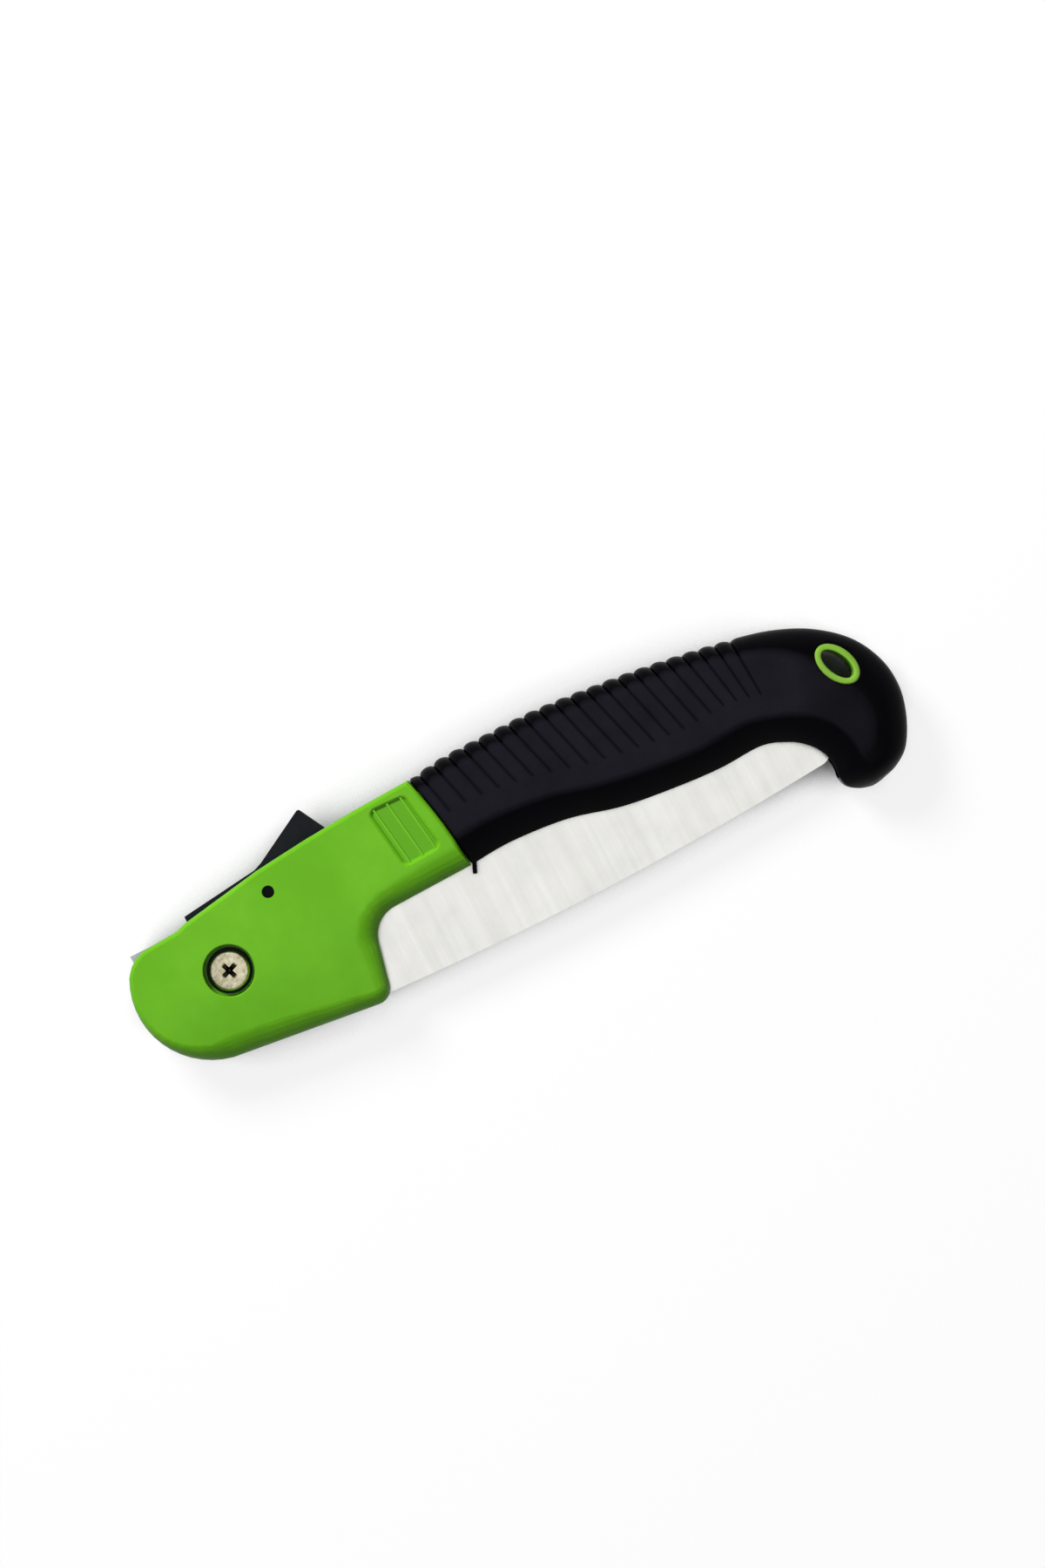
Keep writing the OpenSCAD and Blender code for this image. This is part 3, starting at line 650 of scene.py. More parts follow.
def dress_nodes(nodes: Iterable[str], material: Material) -> None:
    """Gives CAD nodes a material.

    Args:
        nodes: the nodes' names.
        material: the material.
    """
    for node in nodes:
        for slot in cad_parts[node].material_slots:
            slot.material = material
        log.info("node %s dressed in %s", node, material.name)


# Grip


class Column(IntEnum):
    """The columns of the grip's table: places, half thickness, widths, bow and share of the rim's width."""

    SPINE_X = 0
    SPINE_Y = 1
    RIM_X = 2
    RIM_Y = 3
    HALF_THICK = 4
    SLOPE = 5
    ROUND = 6
    BACK = 7
    BOW = 8
    RIM_SHARE = 9


@dataclass(frozen=True)
class SkinPoint:
    """A point of a grip section: its place, its outward direction and its share of ribs and grooves."""

    along: float
    high: float
    out_along: float
    out_high: float
    rib: float = 0.0
    groove: float = 0.0


@dataclass
class RubberGrip:
    """The black grip: a ribbed loft over the handle's tail that ends in a hook."""

    rows: tuple[tuple[float, ...], ...] = (
        (69.4, 24.0, 74.2, -5.4, 11, 10, 5.5, 5.5, 0.9, 1),
        (80, 25.4, 87, -4.8, 11, 10, 5.5, 5.5, 0.5, 1),
        (95, 25.5, 104, -6.5, 11, 10, 5.5, 5.5, 0, 1),
        (110, 25.2, 119.5, -10.6, 11, 10, 5.5, 5.5, 0, 1),
        (125, 23.8, 135, -12.8, 11, 9.4, 5.5, 5.5, 0, 1),
        (140, 22.0, 149, -13.9, 11, 9, 5.5, 5.5, 0, 1),
        (155, 19.6, 162, -13.7, 11, 9.2, 5.6, 5.4, 0, 1),
        (168, 17.0, 169.3, -16.3, 11, 9.5, 6.5, 5, 0, 1),
        (180, 13.8, 173, -18.8, 11, 9.8, 9, 4, 0, 1),
        (190.5, 8.7, 175.4, -21.4, 10.7, 9.6, 12, 3.4, 0, 1),
        (199, 1.2, 176.8, -23.8, 10.6, 9.4, 14.5, 3, 0, 1),
        (203.7, -8, 177.6, -26.4, 10.6, 9.2, 15, 3, 0, 1),
        (204.6, -17, 177.8, -29.2, 10.6, 9.2, 15, 3, 0, 1),
        (202.4, -25.5, 177.5, -32, 10.4, 9, 14.5, 3, 0, 1),
        (198.3, -32.8, 178.4, -35, 9.6, 8.6, 10.5, 3, 0, 0.72),
        (193.6, -36.3, 181.2, -37.2, 7, 5.5, 6, 2.5, 0, 0.42),
        (189.3, -37.7, 184.6, -38.3, 3.6, 2, 2.4, 1.6, 0, 0.2),
        (187.6, -38.15, 186.4, -38.3, 1.2, 0.5, 0.5, 0.4, 0, 0.06),
    )
    smooth_below: float = 55.0
    # The pocket for the handle's tail, the row that it ends at, and the closed rim after it
    rim_half: float = 6.0
    cavity_half: float = 5.42
    spine_wall: float = 4.2
    tail_row: float = 13.0
    tail_gap: float = 0.004
    closed_share: float = 0.8
    closed_at: tuple[float, ...] = (-1.0, -0.4, 0.4, 1.0)
    # A section's outline: the least height of its slope, and the most that slope and rounding take up
    lip_step: float = 0.18
    fit_share: float = 0.97
    slope_power: float = 1.6
    slope_steps: int = 11
    round_steps: int = 10
    edge_round: float = 1.0
    edge_steps: int = 4
    # Ribs over the spine, the part of the rounding in which they fade in, and a distance past them all
    rib_pitch: float = 4.8
    rib_height: float = 1.3
    rib_fade: float = 0.4
    back_at: Span = (0.5, 0.0)
    first_valley: float = 3.2
    ribs_end: float = 99.5
    valley_power: float = 0.5
    station_offsets: tuple[float, ...] = (
        -1.9, -1.35, -0.9, -0.55, -0.3, -0.12, 0.0, 0.12, 0.3, 0.55, 0.9, 1.35, 1.9, 2.4,
    )
    past_ribs: float = 999.0
    # Grooves across the flank: a plain band beside the slope, a ramp into the groove and its full depth
    groove_depth: float = 0.45
    groove_width: float = 0.36
    groove_band: float = 5.4
    band_share: float = 0.6
    ramp_length: float = 1.0
    ramp_share: float = 0.2
    plain_at: tuple[float, ...] = (0.35, 0.7, 0.95)
    ramp_at: tuple[Span, ...] = ((0.3, 0.35), (0.65, 0.8), (1.0, 1.0))
    groove_at: Span = (0.4, 0.8)
    # Steps along the plain part and the hook, in rows, and the gap before the first of them
    hook_step: float = 0.07
    hook_gap: float = 0.6
    # The tongue at the joint's lower end
    tongue_root: Span = (75.4, -4.5)
    tongue_size: Triple = (3.9, 1.3, 0.7)
    tongue_turn: float = -113.0
    tongue_lift: float = 0.12
    tongue_round: float = 0.2
    tongue_steps: int = 3
    # Distances along the spine against row places
    spine_steps: int = 340
    travel: list[Span] = field(default_factory=list)

    def row(self, place: float) -> Vector:
        """A section's numbers at a place between the rows.

        Args:
            place: the row's number, which may be a fraction.

        Returns:
            The blended row.
        """
        last = len(self.rows) - 1
        start = max(0, min(last - 1, math.floor(place)))
        share = place - start
        numbers = (max(0, min(last, start + step)) for step in (-1, 0, 1, 2))
        before, here, after, beyond = (Vector(self.rows[number]) for number in numbers)
        square = 2 * before - 5 * here + 4 * after - beyond
        cube = 3 * here - before - 3 * after + beyond
        bend = square * share**2 + cube * share**3
        return 0.5 * (2 * here + (after - before) * share + bend)

    @staticmethod
    def chord(row: Vector) -> float:
        """The distance from the rim to the spine of a section."""
        return math.hypot(row[Column.SPINE_X] - row[Column.RIM_X], row[Column.SPINE_Y] - row[Column.RIM_Y])

    def rim_width(self, row: Vector) -> float:
        """The half width of a section's rim."""
        return self.rim_half * min(1.0, row[Column.RIM_SHARE])

    def measure_spine(self) -> None:
        """Fills the table of distances along the spine against row places."""
        last = len(self.rows) - 1
        length = 0.0
        before = self.row(0.0)
        for step in range(self.spine_steps + 1):
            place = last * step / self.spine_steps
            here = self.row(place)
            length += math.hypot(*(here[axis] - before[axis] for axis in (Column.SPINE_X, Column.SPINE_Y)))
            self.travel.append((length, place))
            before = here

    def place_along(self, length: float) -> float:
        """The row place at a distance along the spine.

        Args:
            length: the distance.

        Returns:
            The row place.
        """
        number = max(1, min(len(self.travel) - 1, bisect.bisect(self.travel, (length, 0.0))))
        (near, low), (far, high) = self.travel[number - 1], self.travel[number]
        return low + (high - low) * (length - near) / (far - near)

    def on_section(self, row: Vector, along: float, high: float, full_bow: bool = False) -> Vector:
        """A point of a section in the frame, in metres.

        Args:
            row: the section's numbers.
            along: the distance from the rim towards the spine.
            high: the height from the middle plane.
            full_bow: True to take the bow's whole depth all along.

        Returns:
            The point.
        """
        rim = Vector((row[Column.RIM_X], row[Column.RIM_Y]))
        way = Vector((row[Column.SPINE_X], row[Column.SPINE_Y])) - rim
        share = along / way.length
        way.normalize()
        bow = row[Column.BOW] * (1.0 if full_bow else 4 * share * (1 - share))
        spot = rim + way * along + Vector((way.y, -way.x)) * bow
        return Vector((spot.x, spot.y, MID + high)) * MM

    def half_section(self, row: Vector) -> list[SkinPoint]:
        """The upper outer half of a section: its slope, flank, rounding and back.

        Args:
            row: the section's numbers.

        Returns:
            The points from the rim to the spine.
        """
        length = self.chord(row)
        lip, back = self.rim_width(row), row[Column.BACK]
        high = min(MID, max(lip + self.lip_step, row[Column.HALF_THICK]))
        fit = min(1.0, self.fit_share * length / (row[Column.SLOPE] + row[Column.ROUND]))
        slope, bend = row[Column.SLOPE] * fit, row[Column.ROUND] * fit
        points = []
        for step in range(self.slope_steps):
            angle = math.radians(90.0 * step / (self.slope_steps - 1))
            out, up = max(0.0, math.cos(angle)), math.sin(angle)
            rise = lip + (high - lip) * up**self.slope_power
            points.append(SkinPoint(slope * (1 - out**self.slope_power), rise, -out, up))
        flat = length - slope - bend
        stop = slope + min(self.groove_band, self.band_share * flat)
        ramp = min(self.ramp_length, self.ramp_share * flat)
        rest = length - bend - stop - ramp
        flank = [(slope + (stop - slope) * at, 0.0) for at in self.plain_at]
        flank += [(stop + at * ramp, share) for at, share in self.ramp_at]
        flank += [(stop + ramp + at * rest, 1.0) for at in self.groove_at]
        points += [SkinPoint(along, high, 0.0, 1.0, groove=share) for along, share in flank]
        for step in range(self.round_steps + 1):
            share = step / self.round_steps
            angle = math.radians(90.0 * (1 - share))
            out, up = math.cos(angle), math.sin(angle)
            rib = min(1.0, share / self.rib_fade)
            rib = rib * rib * (3 - 2 * rib)
            along, rise = length - bend * (1 - out), back + (high - back) * up
            points.append(SkinPoint(along, rise, out, up, rib, 1 - rib))
        return points + [SkinPoint(length, back * share, 1.0, 0.0, rib=1.0) for share in self.back_at]

    def last_valley(self) -> int:
        """The number of the last valley between ribs, counted from 0."""
        return math.floor((self.ribs_end - self.first_valley) / self.rib_pitch)

    def valley(self, length: float) -> Span:
        """How deep the ribs' valleys and the flank's grooves are at a distance along the spine.

        Args:
            length: the distance along the spine.

        Returns:
            The share of the ribs' height and the share of the grooves' depth.
        """
        nearest = max(0, min(self.last_valley(), round((length - self.first_valley) / self.rib_pitch)))
        off = abs(length - self.first_valley - nearest * self.rib_pitch)
        swell = math.sin(math.pi * min(off, self.rib_pitch / 2) / self.rib_pitch)
        return 1 - swell**self.valley_power, math.exp(-((off / self.groove_width) ** 2))

    def ring(self, place: float, length: float, inset: float, open_rim: bool) -> list[Vector]:
        """One closed ring of the rubber: the outer skin, then the pocket for the tail.

        Args:
            place: the row place.
            length: the distance along the spine.
            inset: how far the ring is drawn in for a rounded edge.
            open_rim: True where the tail runs in the pocket.

        Returns:
            The ring's points.
        """
        row = self.row(place)
        rib, groove = self.valley(length)
        half = []
        for point in self.half_section(row):
            depth = inset + rib * point.rib * self.rib_height + groove * point.groove * self.groove_depth
            half.append((point.along - point.out_along * depth, point.high - point.out_high * depth))
        skin = half + [(along, -high) for along, high in reversed(half[:-1])]
        if open_rim:
            deep, side = self.chord(row) - self.spine_wall, self.cavity_half
            pocket = [(inset, -side), (deep, -side), (deep, side), (inset, side)]
        else:
            side = self.closed_share * self.rim_width(row)
            pocket = [(inset, side * at) for at in self.closed_at]
        outer = [self.on_section(row, along, high) for along, high in skin]
        return outer + [self.on_section(row, along, high, True) for along, high in pocket]

    def rib_stations(self) -> list[float]:
        """The distances along the spine at which the ribbed part has rings."""
        valleys = (self.first_valley + count * self.rib_pitch for count in range(self.last_valley() + 1))
        return [valley + off for valley in valleys for off in self.station_offsets]

    def rings(self) -> Iterator[list[Vector]]:
        """The rings from the joint to the end of the hook.

        Yields:
            Rings of points: the rounded edge, the ribs, the plain part up to the tail's end and the hook.
        """
        for step in range(self.edge_steps + 1):
            angle = math.radians(90.0 * step / self.edge_steps)
            length = self.edge_round * (1 - math.cos(angle))
            yield self.ring(self.place_along(length), length, self.edge_round * (1 - math.sin(angle)), True)
        for length in self.rib_stations():
            yield self.ring(self.place_along(length), length, 0.0, True)
        plain = self.place_along(self.rib_stations()[-1] + self.hook_gap)
        hook = self.tail_row + self.tail_gap
        last = len(self.rows) - 1
        for start, end, rows, open_rim in (
            (plain, self.tail_row, self.tail_row - plain, True),
            (hook, last, last - self.tail_row, False),
        ):
            count = math.ceil(rows / self.hook_step)
            for step in range(count + 1):
                yield self.ring(start + (end - start) * step / count, self.past_ribs, 0.0, open_rim)

    def add_tongue(self, piece: Piece) -> None:
        """Adds the small tongue of rubber at the joint's lower end.

        Args:
            piece: the grip.
        """
        bm = bmesh.new()
        bm.from_mesh(piece.data)
        long, wide, thick = self.tongue_size
        base = Vector((*self.tongue_root, MID + self.cavity_half + self.tongue_lift)) * MM
        place = Matrix.Translation(base) @ Matrix.Rotation(math.radians(self.tongue_turn), 4, "Z")
        middle = Matrix.Translation(Vector((long / 2, 0, thick / 2)) * MM)
        shape = middle @ Matrix.Diagonal(Vector((long * MM, wide * MM, thick * MM, 1.0)))
        cube = bmesh.ops.create_cube(bm, size=1.0, matrix=place @ shape)["verts"]
        edges = {edge for vert in cube for edge in vert.link_edges}
        bmesh.ops.bevel(
            bm, geom=list(edges), offset=self.tongue_round * MM, affect="EDGES",
            segments=self.tongue_steps, profile=0.5, material=-1,
        )
        bm.to_mesh(piece.data)
        bm.free()

    def build(self) -> Piece:
        """Builds the grip without its eye and tongue.

        Returns:
            The grip.
        """
        self.measure_spine()
        bm = bmesh.new()
        loft(bm, self.rings(), True)
        bmesh.ops.recalc_face_normals(bm, faces=bm.faces)
        piece = piece_from(bm, "ribbed_grip", self.smooth_below)
        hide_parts("grip_overmould")
        dress(piece, RUBBER.material(), Body.HANDLE, Slot.GRIP)
        return piece


# Eyelet


@dataclass
class LanyardEyelet:
    """The green oval ring through the hook, with a rounded lip on both flanks."""

    centre: Span = (191.6, -3.2)
    turn: float = -65.0
    length: float = 10.8
    width: float = 5.5
    wall: float = 1.9
    gap: float = 0.12
    segments: int = 72
    smooth_below: float = 50.0
    # The lip's distance from the hole's edge and its height over the grip, and the most it may stand out
    lip: tuple[Span, ...] = (
        (0.0, -1.6), (0.0, -0.2), (0.08, 0.1), (0.3, 0.3), (0.6, 0.4),
        (1.3, 0.4), (1.6, 0.3), (1.82, 0.06), (1.9, -0.3), (1.9, -1.6),
    )
    lip_limit: float = 10.98
    # Heights that the rays down to the grip and the cutter start at, and the cutter's own height
    ray_from: float = 100.0
    cut_from: float = -20.0
    cut_height: float = 60.0

    def spot(self, angle: float, grow: float) -> Vector:
        """A point of the oval at a distance from the hole's edge, in metres.

        Args:
            angle: the angle around the oval.
            grow: the distance from the hole's edge.

        Returns:
            The point in the XY plane.
        """
        around = math.radians(angle)
        along, across = self.length / 2 + grow, self.width / 2 + grow
        flat = Vector((along * math.cos(around), across * math.sin(around)))
        return (Vector(self.centre) + Matrix.Rotation(math.radians(self.turn), 2) @ flat) * MM

    def cut_eye(self, grip: Piece) -> None:
        """Cuts the ring's place out of the grip.

        Args:
            grip: the grip.
        """
        bm = bmesh.new()
        place = Matrix.Translation(Vector((*self.centre, self.cut_from)) * MM)
        place = place @ Matrix.Rotation(math.radians(self.turn), 4, "Z")
        halves = [(size / 2 + self.wall + self.gap) * MM for size in (self.length, self.width)]
        oval = place @ Matrix.Diagonal(Vector((*halves, 1, 1)))
        bmesh.ops.create_circle(bm, cap_ends=True, segments=self.segments, radius=1.0, matrix=oval)
        grown = bmesh.ops.extrude_face_region(bm, geom=list(bm.faces))["geom"]
        top = [item for item in grown if isinstance(item, bmesh.types.BMVert)]
        bmesh.ops.translate(bm, verts=top, vec=(0, 0, self.cut_height * MM))
        bmesh.ops.recalc_face_normals(bm, faces=bm.faces)
        cutter = piece_from(bm, "eye_cutter")
        cut = grip.modifiers.new("eye", "BOOLEAN")
        cut.operation = "DIFFERENCE"
        cut.solver = "EXACT"
        cut.object = cutter
        bpy.context.view_layer.update()
        whole = grip.evaluated_get(bpy.context.evaluated_depsgraph_get())
        mesh = bpy.data.meshes.new_from_object(whole)
        grip.modifiers.clear()
        grip.data = mesh
        bpy.data.objects.remove(cutter)

    def rings(self, skin: BVHTree) -> Iterator[list[Vector]]:
        """The rings of the lip, over the upper flank and then under the lower one.

        Args:
            skin: the grip's surface before its eye is cut.

        Yields:
            Rings of points around the oval.
        """
        for side in (1, -1):
            for grow, lift in self.lip[::side]:
                ring = []
                for step in range(self.segments):
                    flat = self.spot(360.0 * step / self.segments, grow)
                    hit = skin.ray_cast(Vector((flat.x, flat.y, self.ray_from * MM)), Vector((0, 0, -1)))[0]
                    half = min(self.lip_limit, hit.z / MM - MID + lift)
                    ring.append(Vector((flat.x, flat.y, (MID + side * half) * MM)))
                yield ring

    def build(self, grip: Piece) -> None:
        """Builds the ring and cuts its place out of the grip.

        Args:
            grip: the grip that the ring sits in.
        """
        before = bmesh.new()
        before.from_mesh(grip.data)
        skin = BVHTree.FromBMesh(before)
        before.free()
        bm = bmesh.new()
        ends = loft(bm, self.rings(skin), False)
        bmesh.ops.bridge_loops(bm, edges=ends)
        bmesh.ops.recalc_face_normals(bm, faces=bm.faces)
        ring = piece_from(bm, "eyelet_ring", self.smooth_below)
        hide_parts("lanyard_eyelet")
        self.cut_eye(grip)
        dress(ring, EYELET_GREEN.material(), Body.HANDLE, Slot.EYELET)


# Handle, lock and pivot


@dataclass
class HandleShell:
    """The green moulding: the head with its slightly pillowed cheeks, and the tail inside the grip."""

    edge: Rounding = Rounding(width=0.3, steps=2, above=32.0)
    # Heights from the middle plane: the cheek's flat and the foot of its rounding
    flat: float = 11.0
    rim: float = 6.0
    rim_slack: float = 0.05
    # Places that are left sharp: the pivot's bore, the sunk panel up to its ribs, and what the grip hides
    bore: float = 9.0
    bore_top: float = 10.5
    panel_from: Span = (54.0, 2.0)
    rib_top: float = 10.7
    shown_to: float = 70.0
    # The lean of the cheeks along Y, which fades out along X, and the strips that they are cut into for it
    bend_from: float = 1.0
    bend_end: float = -26.5
    bend_length: float = 15.0
    bend_slope: float = 0.14
    rim_drop: float = 1.7
    fade: Span = (35.0, 45.0)
    step: float = 1.25
    cut_slack: float = 0.002

    def in_bore(self, place: Vector) -> bool:
        """Tells whether a place in millimetres is in the pivot's bore, below its rim."""
        return math.hypot(place.x, place.y) < self.bore and abs(place.z - MID) < self.bore_top

    def in_panel(self, place: Vector) -> bool:
        """Tells whether a place in millimetres is in the sunk panel, up to the tops of its ribs."""
        from_x, from_y = self.panel_from
        return place.x > from_x and place.y > from_y and abs(place.z - MID) < self.rib_top

    def stays_sharp(self, place: Vector) -> bool:
        """Tells whether the edges at a place in millimetres are left alone."""
        return place.x > self.shown_to or self.in_bore(place) or self.in_panel(place)

    def sink(self, x: float, y: float) -> float:
        """How far the cheek's face lies below the flat, in millimetres.

        Args:
            x: the place along the handle.
            y: the place across it.

        Returns:
            The depth.
        """
        run = max(0.0, self.bend_from - y)
        bend = min(run, self.bend_length)
        near, far = self.fade
        share = max(0.0, min(1.0, (far - x) / (far - near)))
        return share * self.bend_slope * (bend**2 / (2 * self.bend_length) + run - bend)

    def cut_cheeks(self, bm: BMesh) -> None:
        """Cuts both cheeks across into strips, so that they can bend.

        Args:
            bm: the moulding's mesh.
        """
        foot = self.rim - self.rim_slack
        for cut in range(math.ceil((self.bend_from - self.bend_end) / self.step)):
            faces = [
                face for face in bm.faces if all(abs(vert.co.z / MM - MID) > foot for vert in face.verts)
            ]
            edges = {edge for face in faces for edge in face.edges}
            verts = {vert for face in faces for vert in face.verts}
            bmesh.ops.bisect_plane(
                bm, geom=[*faces, *edges, *verts], dist=self.cut_slack * MM, plane_no=(0.0, 1.0, 0.0),
                plane_co=(0.0, (self.bend_from - cut * self.step) * MM, 0.0),
            )

    def pillow(self, piece: Piece) -> None:
        """Leans the lower part of both cheeks inwards.

        Args:
            piece: the moulding, whose rounded edges are made part of its mesh.
        """
        piece.modifiers.remove(piece.modifiers["even_shading"])
        bpy.context.view_layer.update()
        whole = piece.evaluated_get(bpy.context.evaluated_depsgraph_get())
        bm = bmesh.new()
        bm.from_mesh(whole.data)
        piece.modifiers.clear()
        self.cut_cheeks(bm)
        for vert in bm.verts:
            place = vert.co / MM
            height = abs(place.z - MID)
            if height < self.rim - self.rim_slack or self.in_bore(place):
                continue
            share = (height - self.rim) / (self.flat - self.rim)
            sink = self.sink(place.x, place.y)
            drop = min(sink, self.rim_drop)
            vert.co.z -= math.copysign((drop + share * (sink - drop)) * MM, place.z - MID)
        bm.to_mesh(piece.data)
        bm.free()
        even_shading(piece)

    def build(self) -> None:
        """Builds the moulding with rounded edges and pillowed cheeks."""
        piece = refined_copy("handle_core", "handle_moulding", self.edge, self.stays_sharp)
        self.pillow(piece)
        dress(piece, LIME.material(), Body.HANDLE, Slot.HANDLE)


@dataclass
class LockGear:
    """The thumb lever with its pin and return spring."""

    edge: Rounding = Rounding(width=0.24, steps=3, above=30.0)
    spring_x: float = 35.0
    spring_ends: Span = (11.7, 20.2)
    spring_d: float = 4.6
    wire: float = 0.7
    turns: int = 5
    steps: int = 100
    wire_sides: int = 10
    smooth_below: float = 60.0

    def build_spring(self) -> None:
        """Winds the spring from its foot to its top."""
        foot, top = (Vector((self.spring_x, y, MID)) * MM for y in self.spring_ends)
        half = self.wire / 2 * MM
        low = foot + Vector((0.0, half, 0.0))
        rise = (top - foot).length - 2 * half
        bm = bmesh.new()
        start = Matrix.Translation(low + Vector((self.spring_d / 2 * MM - half, 0.0, 0.0)))
        circle = bmesh.ops.create_circle(bm, segments=self.wire_sides, radius=half, matrix=start)["verts"]
        first = list(bm.edges)
        last = bmesh.ops.spin(
            bm, geom=circle + first, cent=low, axis=(0.0, -1.0, 0.0), dvec=(0.0, rise / self.steps, 0.0),
            angle=math.tau * self.turns, steps=self.steps,
        )["geom_last"]
        bmesh.ops.contextual_create(bm, geom=first)
        bmesh.ops.contextual_create(bm, geom=[item for item in last if isinstance(item, bmesh.types.BMEdge)])
        bmesh.ops.recalc_face_normals(bm, faces=bm.faces)
        spring = piece_from(bm, "return_spring", self.smooth_below)
        spring.data.materials.append(SPRING_WIRE.material())
        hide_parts("lever_spring")
        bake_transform(spring)
        log.info("piece %s from %s to %s", spring.name, Body.HANDLE.value, Body.LEVER.value)

    def build(self) -> None:
        """Builds the lever and its spring, and dresses its pin."""
        lever = refined_copy("lock_lever", "thumb_lever", self.edge)
        # The pin's near-black steel is painted shade for its hole.
        dress_nodes(["lever_pin"], SHADE_BLACK_STEEL.material())
        self.build_spring()
        dress(lever, CHARCOAL.material(), Body.LEVER, Slot.LEVER)


@dataclass
class PivotStack:
    """The blade's pivot: screw, nut, bush, washers and liners."""

    edge: Rounding = Rounding(width=0.12, steps=2, above=30.0)
    recess_radius: float = 3.3
    recess_slack: float = 0.1
    # Heights from the screw's top between which the painted shade in its recess fades out
    recess_shade_span: Span = (-0.75, -0.35)

    def in_recess(self, place: Vector) -> bool:
        """Tells whether a place in millimetres is in the screw's recess or shank."""
        return math.hypot(place.x, place.y) < self.recess_radius + self.recess_slack

    def build(self) -> None:
        """Builds the screw and dresses the rest of the stack."""
        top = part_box("pivot_screw")[1][2] / MM
        recess_shade = tuple(top + depth for depth in self.recess_shade_span)
        plate = replace(
            NICKEL, name="worn_screw_nickel", shade_radius_mm=self.recess_radius, shade_from_mm=recess_shade
        )
        screw = refined_copy("pivot_screw", "pan_head_screw", self.edge, self.in_recess)
        dress_nodes(["pivot_nut"], NICKEL.material())
        dress_nodes(["pivot_bush"], TURNED_STEEL.material())
        # The washer's near-black steel is painted shade for the gap round the screw head.
        dress_nodes(["screw_washer"], SHADE_BLACK_STEEL.material())
        dress_nodes(["upper_blade_washer", "lower_blade_washer"], NYLON.material())
        dress_nodes(["upper_liner", "lower_liner"], LINER_STEEL.material())
        dress(screw, plate.material(), Body.HANDLE, Slot.SCREW)


@dataclass
class SawBlade:
    """The toothed steel blade."""

    edge: Rounding = Rounding(width=0.08, steps=1, above=30.0)

    def build(self) -> None:
        """Builds the blade with its edges just broken."""
        piece = refined_copy("blade", "toothed_blade", self.edge)
        dress(piece, BLADE_STEEL.material(), Body.BLADE, Slot.BLADE)


# Studio


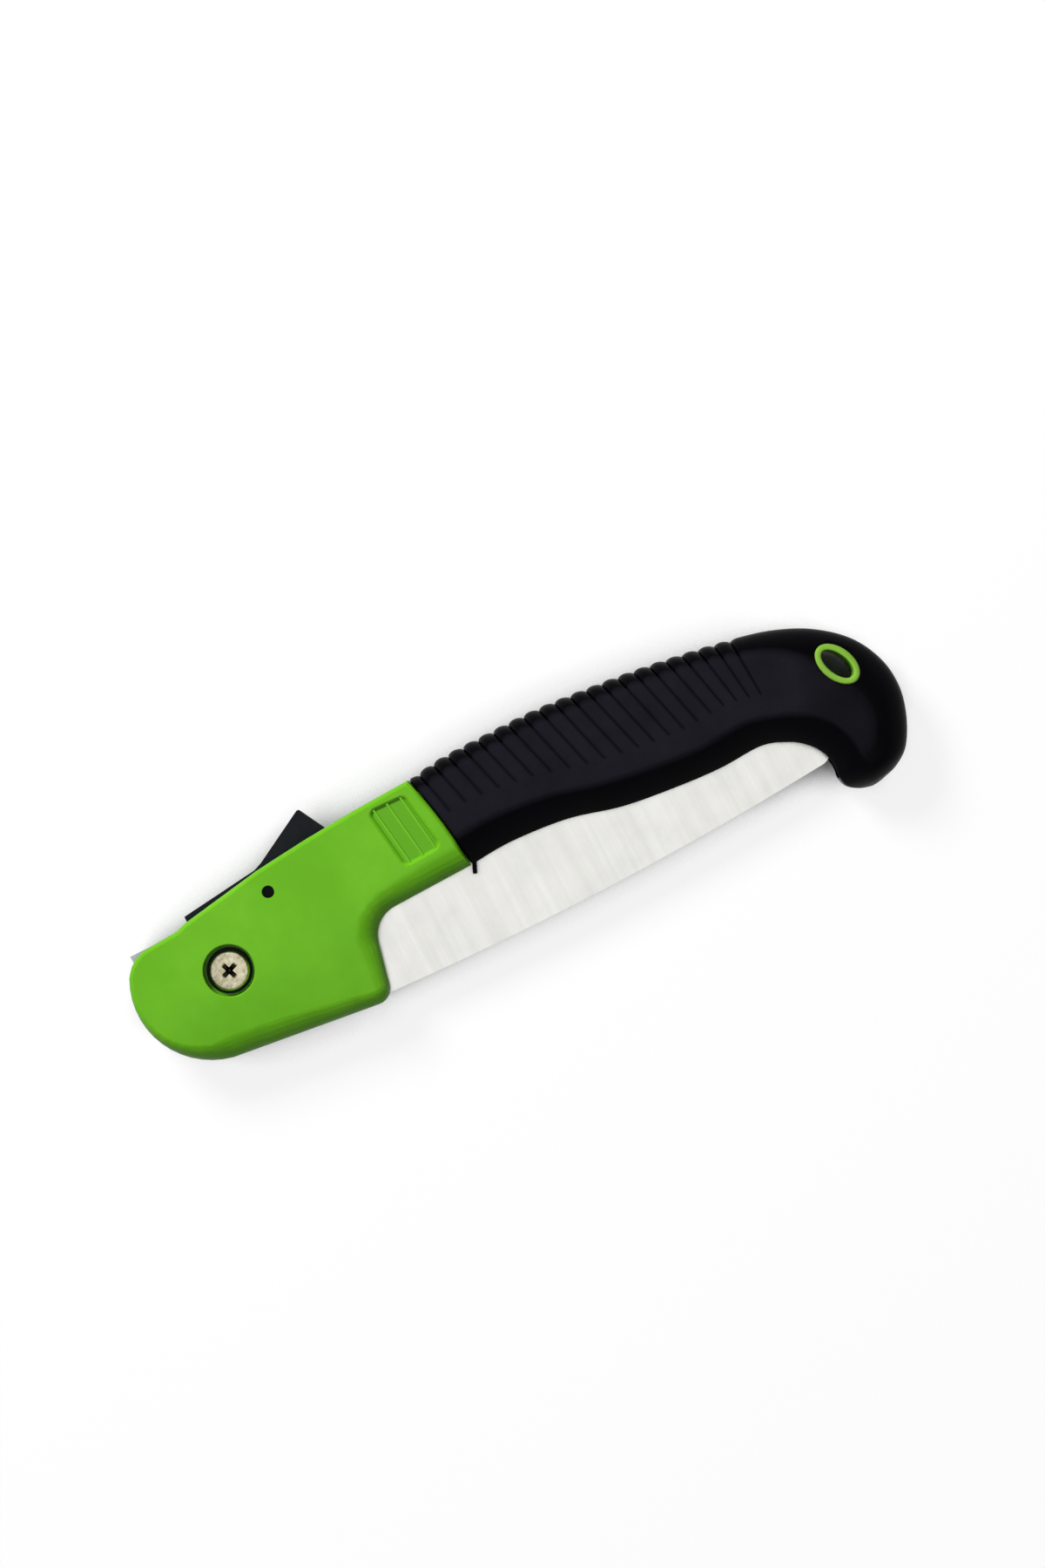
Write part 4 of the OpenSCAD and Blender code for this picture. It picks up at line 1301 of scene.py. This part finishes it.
@dataclass
class Studio:
    """The pale floor, the soft lights and the camera straight above."""

    # The view: the image's turn, its middle, and the height of the frame on a plane over the floor
    turn: float = 27.7
    image_centre: Span = (97.44, 8.10)
    frame_height: float = 443.3
    plane_height: float = 13.0
    lens: float = 120.0
    sensor: float = 36.0
    # Lengths in metres from here on
    clip_end: float = 20.0
    floor_size: float = 6.0
    floor_middle: Triple = (0.09, 0.0, -0.0002)
    floor_colour: Colour = (0.16, 0.16, 0.16)
    floor_glow: float = 0.85
    shadow_reach: float = 0.03
    shadow_samples: int = 8
    shadow_within: Span = (0.32, 0.62)
    # The lamp's place to the image's right, to its top and above, its side and its watts
    key_place: Triple = (-0.75, 0.75, 0.95)
    key_size: float = 0.5
    key_power: float = 23.5
    # The sky's light against the height of the direction, and what the camera sees of it
    sky_edge: float = 0.08
    sky_top: float = 1.34
    sky_within: Span = (0.84, 0.985)
    shown_levels: Span = (1.0, 0.35)
    shown_within: Span = (0.45, 0.65)

    def way(self, right: float, up: float) -> Vector:
        """A direction in the floor's plane, given in the image's axes."""
        cos, sin = math.cos(math.radians(self.turn)), math.sin(math.radians(self.turn))
        return Vector((right * cos + up * sin, up * cos - right * sin, 0.0))

    def camera(self) -> None:
        """Makes the camera."""
        data = bpy.data.cameras.new("camera")
        data.lens = self.lens
        data.sensor_width = self.sensor
        data.clip_end = self.clip_end
        distance = self.frame_height * self.lens / self.sensor
        camera = bpy.data.objects.new("camera", data)
        camera.location = Vector((*self.image_centre, self.plane_height + distance)) * MM
        camera.rotation_euler = (0.0, 0.0, -math.radians(self.turn))
        bpy.context.scene.collection.objects.link(camera)
        bpy.context.scene.camera = camera

    def floor(self) -> None:
        """Makes the floor, which glows to the camera, but less close to the saw."""
        bm = bmesh.new()
        bmesh.ops.create_grid(bm, x_segments=1, y_segments=1, size=self.floor_size / 2)
        bmesh.ops.translate(bm, verts=bm.verts, vec=self.floor_middle)
        piece = piece_from(bm, "floor")
        sheet = MaterialSheet("pale_floor")
        sheet.tree.nodes.remove(sheet.shader)
        open_sky = sheet.add("ShaderNodeAmbientOcclusion", Distance=self.shadow_reach)
        open_sky.samples = self.shadow_samples
        bright = sheet.spread(open_sky.outputs["AO"], 0.0, self.floor_glow, self.shadow_within)
        paint = sheet.add("ShaderNodeBsdfDiffuse", Color=self.floor_colour)
        glow = sheet.add("ShaderNodeEmission", Strength=sheet.reckon("MULTIPLY", sheet.shown(), bright))
        both = sheet.add("ShaderNodeAddShader")
        sheet.feed(both.inputs[0], paint.outputs["BSDF"])
        sheet.feed(both.inputs[1], glow.outputs["Emission"])
        sheet.put(sheet.output, Surface=both.outputs["Shader"])
        piece.data.materials.append(sheet.material)

    def key_lamp(self) -> None:
        """Makes a soft square lamp that faces the saw and doesn't show in shiny faces."""
        data = bpy.data.lights.new("key", "AREA")
        data.shape = "SQUARE"
        data.size = self.key_size
        data.energy = self.key_power
        lamp = bpy.data.objects.new("key", data)
        right, up, high = self.key_place
        middle = Vector((*self.image_centre, 0.0)) * MM
        lamp.location = middle + self.way(right, up) + Vector((0.0, 0.0, high))
        lamp.rotation_euler = (middle - lamp.location).to_track_quat("-Z", "Y").to_euler()
        lamp.visible_glossy = False
        bpy.context.scene.collection.objects.link(lamp)

    def world(self) -> None:
        """Sets a sky that is bright above and dim at the sides, and shows the camera a pale background."""
        world = bpy.data.worlds.new("white_room")
        bpy.context.scene.world = world
        world.use_nodes = True
        sheet = NodeSheet(world.node_tree, "Generated")
        height = sheet.axis("Z")
        light = sheet.spread(height, self.sky_edge, self.sky_top, self.sky_within, smooth=True)
        ground = sheet.spread(height, *self.shown_levels, self.shown_within)
        shown = sheet.reckon("MULTIPLY", sheet.shown(), ground)
        sky = sheet.add("ShaderNodeBackground", Strength=sheet.reckon("MAXIMUM", shown, light))
        sheet.add("ShaderNodeOutputWorld", Surface=sky.outputs["Background"])

    def build(self) -> None:
        """Builds the studio."""
        bpy.context.scene.view_settings.view_transform = "Standard"
        self.camera()
        self.floor()
        self.key_lamp()
        self.world()
        log.info("studio built")


def main() -> None:
    """Builds the saw's pieces in order, and then the studio."""
    logging.basicConfig(level=logging.INFO, format="%(name)s: %(message)s")
    HandleShell().build()
    rubber = RubberGrip()
    grip = rubber.build()
    LanyardEyelet().build(grip)
    rubber.add_tongue(grip)
    SawBlade().build()
    PivotStack().build()
    LockGear().build()
    Studio().build()


if __name__ == "__main__":
    main()
